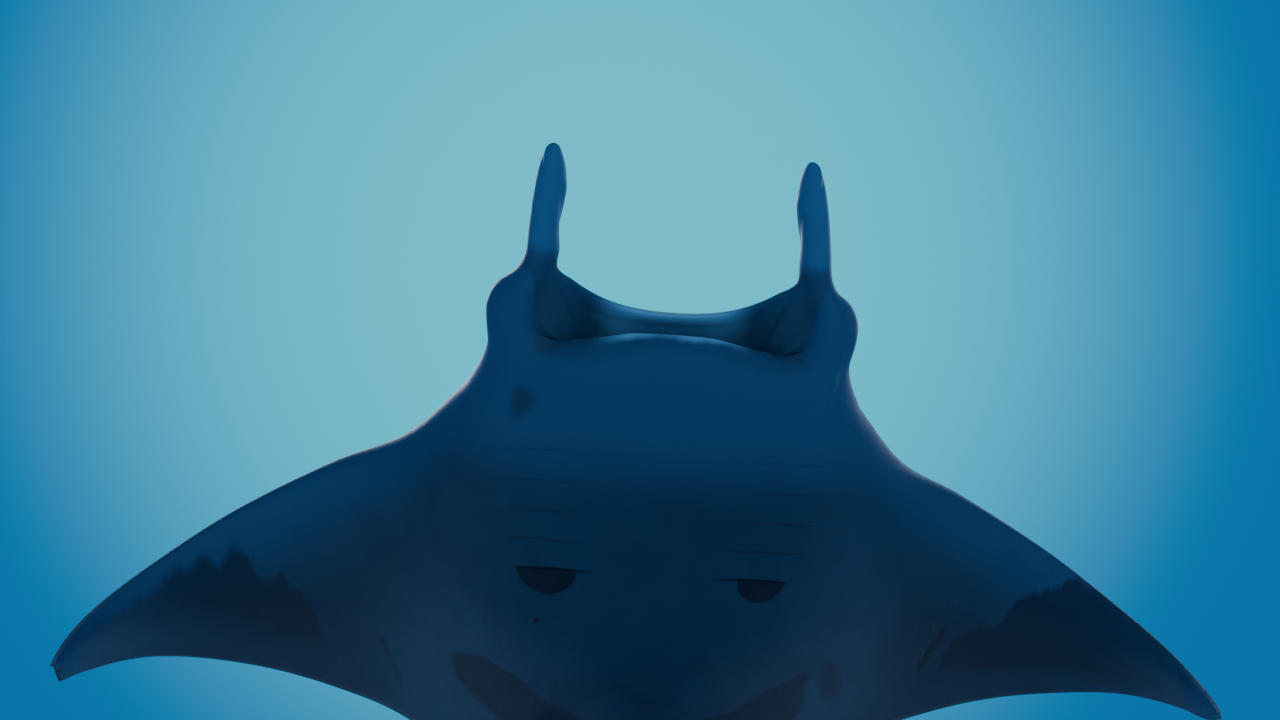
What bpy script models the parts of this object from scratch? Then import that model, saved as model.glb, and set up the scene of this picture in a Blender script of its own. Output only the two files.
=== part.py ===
"""Giant oceanic manta ray, life size, as a still museum model on a plain steel stand.

The ray is described in its own body frame, in wingspans: s sideways from the
midline, a aft from just ahead of the snout and h up towards the back.  It is
laid out flat, the wings are then bent, and the whole animal is pitched nose up.
World frame: metres, +Z up, the snout towards -Y, the ray's left side at +X and
the origin under the middle of the base plate.
"""

import math

import bmesh
import bpy
import numpy as np
from mathutils import Matrix, Vector

# ---------------------------------------------------------------- sizes
SPAN = 4.5                      # wing tip to wing tip, laid flat
PITCH = math.radians(50)        # nose up
ORIGIN = Vector((0.0, -0.75, 2.15))   # body origin in the world
GAP = 0.0003                    # left between neighbouring solids
EDGE = 0.0005                   # half thickness of the thinnest fin edge, wingspans

# outline of the right half of the disc, as (s, a): front corner, cheek, eye and neck
FRONT_RIM = [(0.086, -0.010), (0.094, -0.014), (0.103, -0.012), (0.1115, -0.005),
             (0.120, 0.003), (0.126, 0.012), (0.129, 0.022), (0.129, 0.032),
             (0.1285, 0.043), (0.1285, 0.053), (0.133, 0.067), (0.142, 0.085)]
# edge of the lower lip, from the chin to the cheek and forward to the front corner
LOWER_LIP = [(0.0, 0.030), (0.03, 0.032), (0.052, 0.038), (0.072, 0.043), (0.086, 0.043),
             (0.0945, 0.035), (0.0970, 0.020), (0.0945, 0.004), (0.086, -0.010)]
LIP_A = 0.022                   # upper lip on the midline
THROAT_A = 0.070                # back wall of the mouth
THROAT = (0.058, 0.009, -0.004)  # its half width, half height and height, wingspans
NECK_A, LOIN_A = 0.102, 0.415    # spine stations of the wing root's two ends
REAR_A = 0.446                  # root of the tail

LEADING_S = [0.142, 0.18, 0.24, 0.31, 0.38, 0.44, 0.48, 0.50]
LEADING_A = [0.085, 0.128, 0.162, 0.200, 0.2355, 0.254, 0.261, 0.263]
TRAILING_S = [0.018, 0.03, 0.06, 0.12, 0.18, 0.24, 0.31, 0.38, 0.44, 0.48, 0.50]
TRAILING_A = [0.442, 0.438, 0.429, 0.404, 0.372, 0.352, 0.3295, 0.306, 0.290, 0.276, 0.263]

# depth of the back and of the belly along the midline
DEPTH_A = [-0.02, 0.0, 0.02, 0.035, 0.055, 0.085, 0.13, 0.20, 0.28, 0.36, 0.42, 0.447]
BACK_H = [0.0045, 0.005, 0.0085, 0.0165, 0.028, 0.040, 0.050, 0.055, 0.048, 0.034, 0.022, 0.015]
BELLY_H = [0.024, 0.027, 0.0315, 0.037, 0.043, 0.049, 0.054, 0.056, 0.048, 0.033, 0.020, 0.013]
ROOT_H = 0.022                  # half thickness of the wing, carried to the midline
TRUNK_S = 0.155                 # where the trunk has sunk into the wing
LIP_RADIUS = 0.015              # over which the lips are rounded

# wing tips: how far they reach, how much less the worn one does at its rear, and how
# far aft they are drawn
LEFT_TIP = (0.5, 0.0, -0.0055)
RIGHT_TIP = (0.484, 0.016, 0.0025)

# wing bend: angle at the root, further droop to the tip (radians), and its power
BEND_RIGHT = (-0.39, 2.15, 1.65)
BEND_LEFT = (-0.45, 2.29, 1.80)

ROOT_S = FRONT_RIM[-1][0]        # the trunk ends and the wing begins here
HEAD_RINGS, TRUNK_RINGS, REAR_RINGS, MOUTH_RINGS = 12, 12, 5, 5
COLUMNS = 9                     # from the midline to the side of the head or trunk
WING_STATIONS = 12              # from the wing root to the tip

LOBE_LENGTH = [0.030, 0.010, -0.004, -0.016, -0.040, -0.065, -0.080, -0.089, -0.0935, -0.095]
LOBE_S = [0.1080, 0.1050, 0.0990, 0.0947, 0.0925, 0.0898, 0.0885, 0.0877, 0.0873, 0.0871]
LOBE_R = [0.0040, 0.0090, 0.0112, 0.0113, 0.0106, 0.0100, 0.0085, 0.0058, 0.0034, 0.0010]
LOBE_LEAN = 0.0057               # both lobes lean towards the ray's right, per lobe length

EYE = (0.1235, 0.027, -0.0008)  # centre of the left eye, (s, a, h)
EYE_RADIUS = 0.031              # metres

TAIL_LENGTH = 1.45              # metres
TAIL_ROOT = 0.062               # radius in metres

HEAD_CUT, REAR_CUT, LOBE_CUT, WING_CUT, TAIL_CUT = 0.078, 0.4385, -0.0150, 0.150, 0.0168

BASE = (1.35, 1.55, 0.040)      # base plate, metres
ROD_RADIUS = 0.038
COLLAR, FLANGE = (0.020, 0.060), (0.062, 0.014)   # width beyond the rod, and height
ROD_AT = (0.075, 0.375)         # where the rods enter the belly, (s, a)
ROD_DEPTH = 0.09                # how far they reach in, metres

SKIN_COLOUR = (0.10, 0.13, 0.17, 1.0)
BELLY_COLOUR = (0.42, 0.50, 0.56, 1.0)
STEEL_COLOUR = (0.42, 0.43, 0.45, 1.0)
EYE_COLOUR = (0.02, 0.02, 0.025, 1.0)


# ---------------------------------------------------------------- curves
def stations(x, xs, ys):
    """Smooth curve through stations: a cubic Hermite with centred slopes."""
    xs, ys = np.asarray(xs, float), np.asarray(ys, float)
    slope = np.gradient(ys, xs)
    x = np.clip(np.asarray(x, float), xs[0], xs[-1])
    k = np.clip(np.searchsorted(xs, x) - 1, 0, len(xs) - 2)
    w = xs[k + 1] - xs[k]
    t = (x - xs[k]) / w
    return ((1 + 2 * t) * (1 - t) ** 2 * ys[k] + t * (1 - t) ** 2 * w * slope[k]
            + t * t * (3 - 2 * t) * ys[k + 1] + t * t * (t - 1) * w * slope[k + 1])


def smooth(x, low, high):
    """Smooth step from 0 at low to 1 at high."""
    t = np.clip((np.asarray(x, float) - low) / (high - low), 0, 1)
    return t * t * (3 - 2 * t)


def along(points, t):
    """Points at the fractions t of the length of a smooth line through points."""
    points = np.asarray(points, float)
    knots = np.arange(len(points))
    fine = np.linspace(0, knots[-1], 40 * len(points))
    line = np.stack([stations(fine, knots, c) for c in points.T], -1)
    steps = np.linalg.norm(np.diff(line, axis=0), axis=1)
    length = np.concatenate([[0], np.cumsum(steps)]) / steps.sum()
    return np.stack([np.interp(t, length, c) for c in line.T], -1)


# ---------------------------------------------------------------- outline of the disc
def crowd(t):
    """Fractions from the midline to the rim, closer together near the rim."""
    return t * (1.3 - 0.3 * t * t)


def upper_lip(t):
    """Concave front edge between the lobes, rising with the power 2.5 of s."""
    corner_s, corner_a = FRONT_RIM[0]
    s = corner_s * crowd(t)
    return np.stack([s, LIP_A - (LIP_A - corner_a) * (s / corner_s) ** 2.5], -1)


def lower_lip(t):
    return along(LOWER_LIP, t)


def leading_edge(s):
    return np.stack([s, stations(s, LEADING_S, LEADING_A)], -1)


def trailing_edge(s):
    return np.stack([s, stations(s, TRAILING_S, TRAILING_A)], -1)


def coons(near, far, spine, rim, t, v):
    """Coons patch between two rings and the two lines that join their ends."""
    t, v = t[None, :, None], v[:, None, None]
    corners = ((1 - v) * (1 - t) * near[0] + (1 - v) * t * near[-1]
               + v * (1 - t) * far[0] + v * t * far[-1])
    return (1 - v) * near + v * far + (1 - t) * spine[:, None] + t * rim[:, None] - corners


def ring(spine_a, rim, t):
    """One ring across half the body, from the spine to a point of the side."""
    s = rim[0] * crowd(t)
    return np.stack([s, spine_a + (rim[1] - spine_a) * (s / rim[0]) ** 2], -1)


def half_trunk(lip):
    """Plan of head, trunk and rear on one side: (rings, columns, 2) of (s, a)."""
    t = np.linspace(0, 1, COLUMNS + 1)
    v = np.linspace(0, 1, HEAD_RINGS + 1)
    first, rim = lip(t), along(FRONT_RIM, v)
    spine = np.stack([0 * v, first[0, 1] + (NECK_A - first[0, 1]) * v ** 0.9], -1)
    head = coons(first, ring(NECK_A, rim[-1], t), spine, rim, t, v)
    side = wing_rows(np.array([ROOT_S]))[1:, 0]
    back = np.linspace(0, 1, REAR_RINGS + 1)[1:]
    rear = trailing_edge(ROOT_S + (TRAILING_S[0] - ROOT_S) * back)
    spine_a = np.concatenate([NECK_A + (LOIN_A - NECK_A) * np.linspace(0, 1, TRUNK_RINGS + 1)[1:],
                              LOIN_A + (REAR_A - LOIN_A) * back])
    rings = [ring(a, end, t) for a, end in zip(spine_a, np.concatenate([side, rear]))]
    return np.concatenate([head, rings])


def row_shares():
    """Shares of the wing's chord at which its rows lie, crowded at the front edge."""
    share = np.linspace(0, 1, TRUNK_RINGS + 1)[:, None]
    return 0.45 * share ** 2.2 + 0.55 * share


def wing_rows(s):
    """Plan of the wing at the stations s: (rows, stations, 2)."""
    share = row_shares()[..., None]
    return (1 - share) * leading_edge(s) + share * trailing_edge(s)


def half_wing(tip):
    """Plan of one wing, closer together towards its end, where a worn tip slants."""
    reach, slant, _ = tip
    x = np.linspace(0, 1, WING_STATIONS + 1)
    return wing_rows(ROOT_S + (reach - ROOT_S) * (1 - (1 - x) ** 1.35)
                     - slant * row_shares() * x ** 12)


# ---------------------------------------------------------------- thickness
def nearest(plan, line):
    """Distance from each point of the plan to a line, and the foot on that line."""
    start, step = line[:-1], np.diff(line, axis=0)
    offset = plan[..., None, :] - start
    u = np.clip((offset * step).sum(-1) / (step ** 2).sum(-1), 0, 1)
    foot = start + step * u[..., None]
    gap = np.linalg.norm(plan[..., None, :] - foot, axis=-1)
    best = gap.argmin(-1)[..., None]
    return (np.take_along_axis(gap, best, -1)[..., 0],
            np.take_along_axis(foot, best[..., None], -2)[..., 0, :])


def thickness(plan, lip, depths):
    """Half thickness over the plan, rounded at the front rim and thin at the rear."""
    fine = np.linspace(0, 1, 60)
    lips = lip(fine)
    wing = leading_edge(np.linspace(0.142, 0.5, 120))
    front = np.concatenate([lips, along(FRONT_RIM, fine)[1:], wing[1:]])
    gap, foot = nearest(plan, front)
    lip_gap, _ = nearest(plan, lips)
    chord = (stations(foot[..., 0], TRAILING_S, TRAILING_A)
             - stations(foot[..., 0], LEADING_S, LEADING_A))
    cheek = np.interp(foot[..., 1], [-0.014, 0, 0.03, 0.06, 0.09, 0.12],
                      [0.022, 0.030, 0.040, 0.040, 0.045, 0.050])
    radius = np.where(foot[..., 0] > 0.142, np.minimum(cheek, 0.38 * chord + 0.003), cheek)
    radius = LIP_RADIUS + (radius - LIP_RADIUS) * smooth(lip_gap - gap, 0.0, 0.022)
    nose = (1 - (1 - np.clip(gap / radius, 0, 1)) ** 2.2) ** (1 / 2.2)

    gap, foot = nearest(plan, trailing_edge(np.linspace(TRAILING_S[0], 0.5, 160)))
    taper = 0.75 * np.interp(foot[..., 0], [0.018, 0.06, 0.12, 0.2, 0.3, 0.4, 0.48, 0.5],
                             [0.10, 0.16, 0.22, 0.19, 0.12, 0.062, 0.02, 0.006])
    wedge = 1 - (1 - np.clip(gap / taper, 0, 1)) ** 1.7

    s, a = plan[..., 0], plan[..., 1]
    wing_h = ROOT_H * np.clip(1 - (s / 0.5) ** 1.2, 0, 1) ** 1.1 + 0.0012
    trunk_h = (stations(a, DEPTH_A, depths) - ROOT_H) * np.exp(-(s / TRUNK_S) ** 3)
    tail_root = 0.012 * smooth(a, 0.33, 0.44) * np.exp(-(s / 0.016) ** 2)
    return (wing_h + trunk_h) * nose * wedge + tail_root


def surface(plan, lip, depths, lip_h, way):
    """Points (s, a, h) of the back (way +1) or belly (way -1) over a plan."""
    thick = thickness(plan, lip, depths)
    fade = smooth(-plan[..., 1], -0.075, -0.02) * (1 - np.clip(thick / 0.03, 0, 1))
    return np.concatenate([plan, (way * (thick + EDGE) + lip_h * fade)[..., None]], -1)


def rake(wing, tip):
    """Draws the tip of a wing's face aft, from further in at the rear than in front."""
    s, share = wing[..., 0], row_shares()
    wing[..., 1] += tip[2] * (share * smooth(s, 0.33, 0.45)
                              + (1 - share) * smooth(s, 0.44, 0.50))
    return wing


def half_surfaces(tip):
    """Back and belly of the trunk, then back and belly of the wing, of one half."""
    t = np.linspace(0, 1, COLUMNS + 1)
    back_lip = np.interp(t, [0, 0.5, 1], [-0.006, -0.008, -0.012])
    belly_lip = np.interp(t, [0, 0.3, 0.55, 0.75, 0.9, 1],
                          [-0.022, -0.023, -0.026, -0.022, -0.014, -0.012])
    wing = half_wing(tip)
    return (surface(half_trunk(upper_lip), upper_lip, BACK_H, back_lip, 1),
            surface(half_trunk(lower_lip), lower_lip, BELLY_H, belly_lip, -1),
            rake(surface(wing, upper_lip, BACK_H, 0.0, 1), tip),
            rake(surface(wing, lower_lip, BELLY_H, 0.0, -1), tip))


# ---------------------------------------------------------------- pose
def bent(s, bend):
    """Sideways place, height and slope of a wing's middle surface at flat station s."""
    root, droop, power = bend
    flat = np.linspace(0, 0.5, 600)
    along_wing = np.clip((flat - 0.10) / 0.40, 0, 1)
    angle = root * smooth(flat, 0.07, 0.19) + droop * along_wing ** power
    step = flat[1] - flat[0]
    x = np.concatenate([[0], np.cumsum(np.cos(angle[:-1]))]) * step
    z = np.concatenate([[0], np.cumsum(-np.sin(angle[:-1]))]) * step
    return np.interp(s, flat, x), np.interp(s, flat, z), np.interp(s, flat, angle)


def bend_wing(points, side):
    """Bends flat points (s, a, h) and gives body points (x, a, h); side is +1 or -1."""
    x, z, angle = bent(points[..., 0], BEND_LEFT if side > 0 else BEND_RIGHT)
    h = points[..., 2]
    return np.stack([side * (x + np.sin(angle) * h), points[..., 1],
                     z + np.cos(angle) * h], -1)


def body_frame():
    """Matrix from body points in metres to the world."""
    aft = Vector((0, math.cos(PITCH), -math.sin(PITCH)))
    up = Vector((0, math.sin(PITCH), math.cos(PITCH)))
    turn = Matrix((Vector((1, 0, 0)), aft, up)).transposed().to_4x4()
    return Matrix.Translation(ORIGIN) @ turn


def to_world(x, a, h):
    """World point of one body point given in wingspans."""
    return body_frame() @ (Vector((x, a, h)) * SPAN)


# ---------------------------------------------------------------- meshes
def new_object(name, mesh, collection):
    obj = bpy.data.objects.new(name, mesh)
    collection.objects.link(obj)
    return obj


def weld(name, patches, collection):
    """Closed mesh from grids (rows, columns, 3) of body points whose borders meet."""
    verts, faces = [], []
    for grid in patches:
        rows, columns = grid.shape[:2]
        index = np.arange(rows * columns).reshape(rows, columns) + len(verts)
        verts.extend((grid.reshape(-1, 3) * SPAN).tolist())
        faces.extend(np.stack([index[:-1, :-1], index[:-1, 1:], index[1:, 1:], index[1:, :-1]],
                              -1).reshape(-1, 4).tolist())
    mesh = bpy.data.meshes.new(name)
    mesh.from_pydata(verts, [], faces)
    bm = bmesh.new()
    bm.from_mesh(mesh)
    bmesh.ops.remove_doubles(bm, verts=bm.verts, dist=0.0001)
    bmesh.ops.recalc_face_normals(bm, faces=bm.faces)
    bm.to_mesh(mesh)
    bm.free()
    obj = new_object(name, mesh, collection)
    obj.matrix_world = body_frame()
    return obj


def fan(line, centre):
    """Patch of triangles from a line of points to one point."""
    return np.stack([line, np.broadcast_to(centre, line.shape)])


def loft(name, rings, collection):
    """Closed mesh through rings (count, around, 3), its ends drawn to their middles."""
    rings = np.concatenate([rings, rings[:, :1]], axis=1)
    ends = [fan(rings[k], rings[k, :-1].mean(0)) for k in (0, -1)]
    return weld(name, [rings] + ends, collection)


def mouth(back_lip, belly_lip):
    """Roof and floor of half the mouth, from an oval throat out to the lips."""
    turn = np.pi / 2 * np.linspace(0, 1, COLUMNS + 1)
    width, height, middle = THROAT
    side = np.sign(back_lip[-1, 0])
    patches = []
    for lip, way, swell in ((back_lip, 1, 0.011), (belly_lip, -1, -0.004)):
        throat = np.stack([side * width * np.sin(turn), np.full(len(turn), THROAT_A),
                           middle + way * height * np.cos(turn)], -1)
        w = np.linspace(0, 1, MOUTH_RINGS + 1)[:, None, None]
        sheet = (1 - w) * throat + w * lip
        sheet[..., 2] += swell * np.sin(np.pi * w[..., 0]) * np.cos(turn)
        patches += [sheet, fan(throat, np.array([0, THROAT_A + 0.003, middle]))]
    return patches + [np.stack([patches[0][:, -1], patches[2][:, -1]])]


def disc(collection):
    """Head, trunk and wings as one closed mesh, with a hollow mouth."""
    patches = []
    for side, tip in ((1, LEFT_TIP), (-1, RIGHT_TIP)):
        back, belly, wing_back, wing_belly = (bend_wing(p, side) for p in half_surfaces(tip))
        root = slice(HEAD_RINGS, HEAD_RINGS + TRUNK_RINGS + 1)
        front, rear = slice(0, HEAD_RINGS + 1), slice(HEAD_RINGS + TRUNK_RINGS, None)
        wing_back[:, 0], wing_belly[:, 0] = back[root, -1], belly[root, -1]
        patches += [back, belly, wing_back, wing_belly] + mouth(back[0], belly[0])
        for upper, lower in ((back[front, -1], belly[front, -1]),
                             (back[rear, -1], belly[rear, -1]),
                             (wing_back[0], wing_belly[0]), (wing_back[-1], wing_belly[-1]),
                             (wing_back[:, -1], wing_belly[:, -1])):
            patches.append(np.stack([upper, lower]))
        end = np.concatenate([back[-1], belly[-1, ::-1]])
        patches.append(fan(end, np.array([0, REAR_A + 0.001, 0])))
    return weld("flesh", patches, collection)


def lobe(side, collection):
    """Rolled-up cephalic fin: oval sections along a nearly straight line forward."""
    around = np.linspace(0, 2 * np.pi, 14, endpoint=False)
    rings = []
    for a, s, r in zip(LOBE_LENGTH, LOBE_S, LOBE_R):
        drop = -0.006 - 0.16 * max(0.0, -a)
        tall = 1.0 + 0.25 * float(smooth(a, -0.08, 0.01))
        lean = LOBE_LEAN * (0.35 + a / 0.095) * float(smooth(-a, 0.0, 0.016))
        rings.append(np.stack([side * (s + r * np.cos(around)) + lean, np.full(14, a),
                               drop + tall * r * np.sin(around)], -1))
    return loft("lobe", np.array(rings), collection)


def dorsal_fin(collection):
    """Small swept fin just ahead of the tail, in lens-shaped sections."""
    around = np.linspace(0, 2 * np.pi, 12, endpoint=False)
    rings = []
    for u in (0.0, 0.35, 0.65, 0.88, 1.0):
        chord = 0.050 * (1 - u) ** 0.75 + 0.004
        middle = 0.417 + 0.020 * u
        rings.append(np.stack([0.0036 * (1 - 0.7 * u) * np.sin(around),
                               middle - 0.5 * chord * np.cos(around),
                               np.full(12, 0.012 + 0.036 * u)], -1))
    return loft("dorsal_fin", np.array(rings), collection)


def pelvic_fin(side, collection):
    """Small rounded fin beside the root of the tail: a flattened sphere."""
    mesh = bpy.data.meshes.new("pelvic")
    bm = bmesh.new()
    bmesh.ops.create_uvsphere(bm, u_segments=16, v_segments=8, radius=1.0)
    place = (body_frame() @ Matrix.Translation(Vector((side * 0.037, 0.434, -0.0005)) * SPAN)
             @ Matrix.Rotation(side * math.radians(-14), 4, "Z")
             @ Matrix.Diagonal((0.017 * SPAN, 0.031 * SPAN, 0.0032 * SPAN, 1)))
    bmesh.ops.transform(bm, matrix=place, verts=bm.verts)
    bm.to_mesh(mesh)
    bm.free()
    return new_object("pelvic", mesh, collection)


def as_mesh(obj, name, collection):
    """The evaluated object as a plain mesh object; the first one is removed."""
    graph = bpy.context.evaluated_depsgraph_get()
    mesh = bpy.data.meshes.new_from_object(obj.evaluated_get(graph))
    solid = new_object(name, mesh, collection)
    solid.matrix_world = obj.matrix_world
    bpy.data.objects.remove(obj)
    bm = bmesh.new()
    bm.from_mesh(mesh)
    bmesh.ops.remove_doubles(bm, verts=bm.verts, dist=0.00005)
    bm.to_mesh(mesh)
    bm.free()
    return solid


def tail(collection):
    """Whip tail that eases from the slope of the body to nearly level."""
    count = 26
    curve = bpy.data.curves.new("tail", "CURVE")
    curve.dimensions = "3D"
    curve.bevel_depth = 1.0
    curve.bevel_resolution = 2
    curve.use_fill_caps = True
    spline = curve.splines.new("POLY")
    spline.points.add(count - 1)
    point = to_world(0, REAR_A - 0.045, 0.001)
    step = (TAIL_LENGTH + 0.045 * SPAN) / (count - 1)
    for k in range(count):
        u = k / (count - 1)
        slope = -PITCH * (1 - float(smooth(u, 0.02, 0.72))) - 0.03
        spline.points[k].co = (*point, 1)
        spline.points[k].radius = TAIL_ROOT * (1 - u) ** 1.6 + 0.0045
        point = point + step * Vector((0, math.cos(slope), math.sin(slope)))
    obj = new_object("tail_curve", curve, collection)
    bpy.context.view_layer.update()
    return as_mesh(obj, "tail_whip", collection)


def boolean(obj, other, operation):
    mod = obj.modifiers.new(operation.lower(), "BOOLEAN")
    mod.operation = operation
    mod.solver = "EXACT"
    mod.object = other


def whole_ray(fin, cutters):
    """All the flesh as one closed mesh, with the dorsal fin joined to it."""
    body = disc(cutters)
    extras = [lobe(1, cutters), lobe(-1, cutters), pelvic_fin(1, cutters),
              pelvic_fin(-1, cutters), tail(cutters)]
    for extra in [fin] + extras:
        boolean(body, extra, "UNION")
    bpy.context.view_layer.update()
    whole = as_mesh(body, "whole", cutters)
    for extra in extras:
        bpy.data.objects.remove(extra)
    return whole


def region(name, low, high, cutters, tilt=None):
    """Box in the body frame, in wingspans, drawn in by half the gap on each side."""
    low, high = np.array(low) * SPAN + GAP / 2, np.array(high) * SPAN - GAP / 2
    mesh = bpy.data.meshes.new(name)
    bm = bmesh.new()
    bmesh.ops.create_cube(bm, size=1.0)
    size = high - low
    place = Matrix.Translation(Vector((low + high) / 2)) @ Matrix.Diagonal((*size, 1))
    bmesh.ops.transform(bm, matrix=(tilt or Matrix()) @ place, verts=bm.verts)
    bm.to_mesh(mesh)
    bm.free()
    box = new_object(name, mesh, cutters)
    box.matrix_world = body_frame()
    box.hide_render = True
    box.display_type = "WIRE"
    return box


def material(name, colour, roughness, metallic=0.0):
    mat = bpy.data.materials.new(name)
    mat.use_nodes = True
    shader = mat.node_tree.nodes["Principled BSDF"]
    shader.inputs["Base Color"].default_value = colour
    shader.inputs["Roughness"].default_value = roughness
    shader.inputs["Metallic"].default_value = metallic
    return mat


def finish(obj, mat):
    obj.data.materials.clear()
    obj.data.materials.append(mat)
    obj.data.shade_smooth()
    obj.data.set_sharp_from_angle(angle=math.radians(40))


# ---------------------------------------------------------------- parts of the model
def flesh_parts(whole, fin, parts, cutters):
    """The whole ray parted by thin cuts into head, trunk, wings, fins and tail."""
    far = 0.6
    fin_tilt = (Matrix.Translation(Vector((0, 0.39, 0.0335)) * SPAN)
                @ Matrix.Rotation(math.radians(-15.5), 4, "X"))
    fin_box = region("cut_fin", (-0.01, 0.0, 0.0), (0.01, 0.08, 0.06), cutters, fin_tilt)
    fin_gap = region("cut_fin_gap", (-0.0102, -0.0002, -GAP / SPAN), (0.0102, 0.0802, 0.06),
                     cutters, fin_tilt)
    layout = {
        "head": ((-far, LOBE_CUT, -far), (far, HEAD_CUT, far)),
        "cephalic_fin_left": ((0, -far, -far), (far, LOBE_CUT, far)),
        "cephalic_fin_right": ((-far, -far, -far), (0, LOBE_CUT, far)),
        "trunk": ((-WING_CUT, HEAD_CUT, -far), (WING_CUT, REAR_CUT, far)),
        "pectoral_fin_left": ((WING_CUT, HEAD_CUT, -far), (far, REAR_CUT, far)),
        "pectoral_fin_right": ((-far, HEAD_CUT, -far), (-WING_CUT, REAR_CUT, far)),
        "pelvic_fin_left": ((TAIL_CUT, REAR_CUT, -far), (0.1, far, far)),
        "pelvic_fin_right": ((-0.1, REAR_CUT, -far), (-TAIL_CUT, far, far)),
        "tail": ((-TAIL_CUT, REAR_CUT, -far), (TAIL_CUT, 1.2, far)),
    }
    made = {}
    for name, (low, high) in layout.items():
        obj = new_object(name, whole.data.copy(), parts)
        obj.matrix_world = whole.matrix_world
        boolean(obj, region("cut_" + name, low, high, cutters), "INTERSECT")
        finish(obj, material(name, BELLY_COLOUR if name == "trunk" else SKIN_COLOUR, 0.5))
        made[name] = obj
    for name in ("trunk", "tail"):
        boolean(made[name], fin_gap, "DIFFERENCE")
    boolean(fin, fin_box, "INTERSECT")
    finish(fin, material("dorsal_fin", SKIN_COLOUR, 0.5))
    return made


def ball(name, centre, radius, collection):
    mesh = bpy.data.meshes.new(name)
    bm = bmesh.new()
    bmesh.ops.create_uvsphere(bm, u_segments=16, v_segments=10, radius=radius)
    bm.to_mesh(mesh)
    bm.free()
    obj = new_object(name, mesh, collection)
    obj.matrix_world = Matrix.Translation(centre) @ Matrix.Rotation(math.pi / 2, 4, "Y")
    return obj


def eyes(head, parts, cutters):
    """Eyeballs set in sockets of the same shape, one gap larger."""
    for side, name in ((1, "eye_left"), (-1, "eye_right")):
        s, a, h = EYE
        centre = to_world(side * s, a, h)
        finish(ball(name, centre, EYE_RADIUS, parts), material(name, EYE_COLOUR, 0.1))
        socket = ball("cut_" + name, centre, EYE_RADIUS + 2 * GAP, cutters)
        socket.hide_render = True
        socket.display_type = "WIRE"
        boolean(head, socket, "DIFFERENCE")


def chamfer(bm, height, width):
    """Takes the corner off the edges that lie level at a height."""
    rim = [e for e in bm.edges if all(abs(v.co.z - height) < 1e-5 for v in e.verts)
           and abs(e.calc_face_angle()) > 0.5]
    bmesh.ops.bevel(bm, geom=rim, offset=width, segments=1, profile=0.5, affect="EDGES")


def cylinder(name, foot, top, radius, collection, edge=0.0, sides=24):
    """Upright cylinder, its top edge chamfered where edge isn't zero."""
    mesh = bpy.data.meshes.new(name)
    bm = bmesh.new()
    bmesh.ops.create_cone(bm, cap_ends=True, segments=sides, radius1=radius, radius2=radius,
                          depth=(top - foot).length)
    if edge:
        chamfer(bm, (top - foot).length / 2, edge)
    bm.to_mesh(mesh)
    bm.free()
    obj = new_object(name, mesh, collection)
    obj.location = (foot + top) / 2
    return obj


def flange(name, foot, cutters):
    """Round foot of a collar and the heads of its four screws."""
    width, height = FLANGE
    pieces = [cylinder(name, foot, foot + Vector((0, 0, height)), ROD_RADIUS + width, cutters,
                       0.003)]
    for k in range(4):
        turn = math.pi / 4 + k * math.pi / 2
        reach = ROD_RADIUS + (COLLAR[0] + width) / 2
        base = foot + Vector((reach * math.cos(turn), reach * math.sin(turn), height / 2))
        pieces.append(cylinder(f"{name}_screw_{k}", base, base + Vector((0, 0, height)),
                               0.009, cutters, 0.0015, 12))
    for piece in pieces:
        piece.hide_render = True
        piece.display_type = "WIRE"
    return pieces


def stand(trunk, parts, cutters):
    """Base plate, two upright rods into the belly, and a collar at each foot."""
    steel = (STEEL_COLOUR, 0.35, 1.0)
    mesh = bpy.data.meshes.new("stand_base")
    bm = bmesh.new()
    bmesh.ops.create_cube(bm, size=1.0)
    bmesh.ops.scale(bm, vec=BASE, verts=bm.verts)
    upright = [e for e in bm.edges if abs(e.verts[0].co.z - e.verts[1].co.z) > 0.01]
    bmesh.ops.bevel(bm, geom=upright, offset=0.12, segments=6, profile=0.5,
                    affect="EDGES")
    chamfer(bm, BASE[2] / 2, 0.006)
    bm.to_mesh(mesh)
    bm.free()
    plate = new_object("stand_base", mesh, parts)
    plate.location = (0, 0, BASE[2] / 2)
    finish(plate, material("stand_base", *steel))

    s, a = ROD_AT
    belly = to_world(s, a, -0.030)
    for side, name in ((1, "left"), (-1, "right")):
        foot = Vector((side * belly.x, belly.y, BASE[2] + GAP))
        top = Vector((foot.x, foot.y, belly.z + ROD_DEPTH))
        rod = cylinder("stand_rod_" + name, foot, top, ROD_RADIUS, parts)
        finish(rod, material(rod.name, *steel))
        hole = cylinder("cut_" + rod.name, foot, top + Vector((0, 0, GAP)), ROD_RADIUS + GAP,
                        cutters)
        hole.hide_render = True
        hole.display_type = "WIRE"
        boolean(trunk, hole, "DIFFERENCE")
        collar = cylinder("stand_collar_" + name, foot, foot + Vector((0, 0, COLLAR[1])),
                          ROD_RADIUS + COLLAR[0], parts, 0.004)
        for extra in flange("cut_flange_" + name, foot, cutters):
            boolean(collar, extra, "UNION")
        boolean(collar, hole, "DIFFERENCE")
        finish(collar, material(collar.name, *steel))


def main():
    for obj in list(bpy.data.objects):
        bpy.data.objects.remove(obj)
    parts = bpy.data.collections.new("manta_ray")
    cutters = bpy.data.collections.new("cutters")
    for collection in (parts, cutters):
        bpy.context.scene.collection.children.link(collection)
    fin = dorsal_fin(parts)
    whole = whole_ray(fin, cutters)
    made = flesh_parts(whole, fin, parts, cutters)
    eyes(made["head"], parts, cutters)
    stand(made["trunk"], parts, cutters)
    bpy.data.objects.remove(whole)


main()
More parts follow.
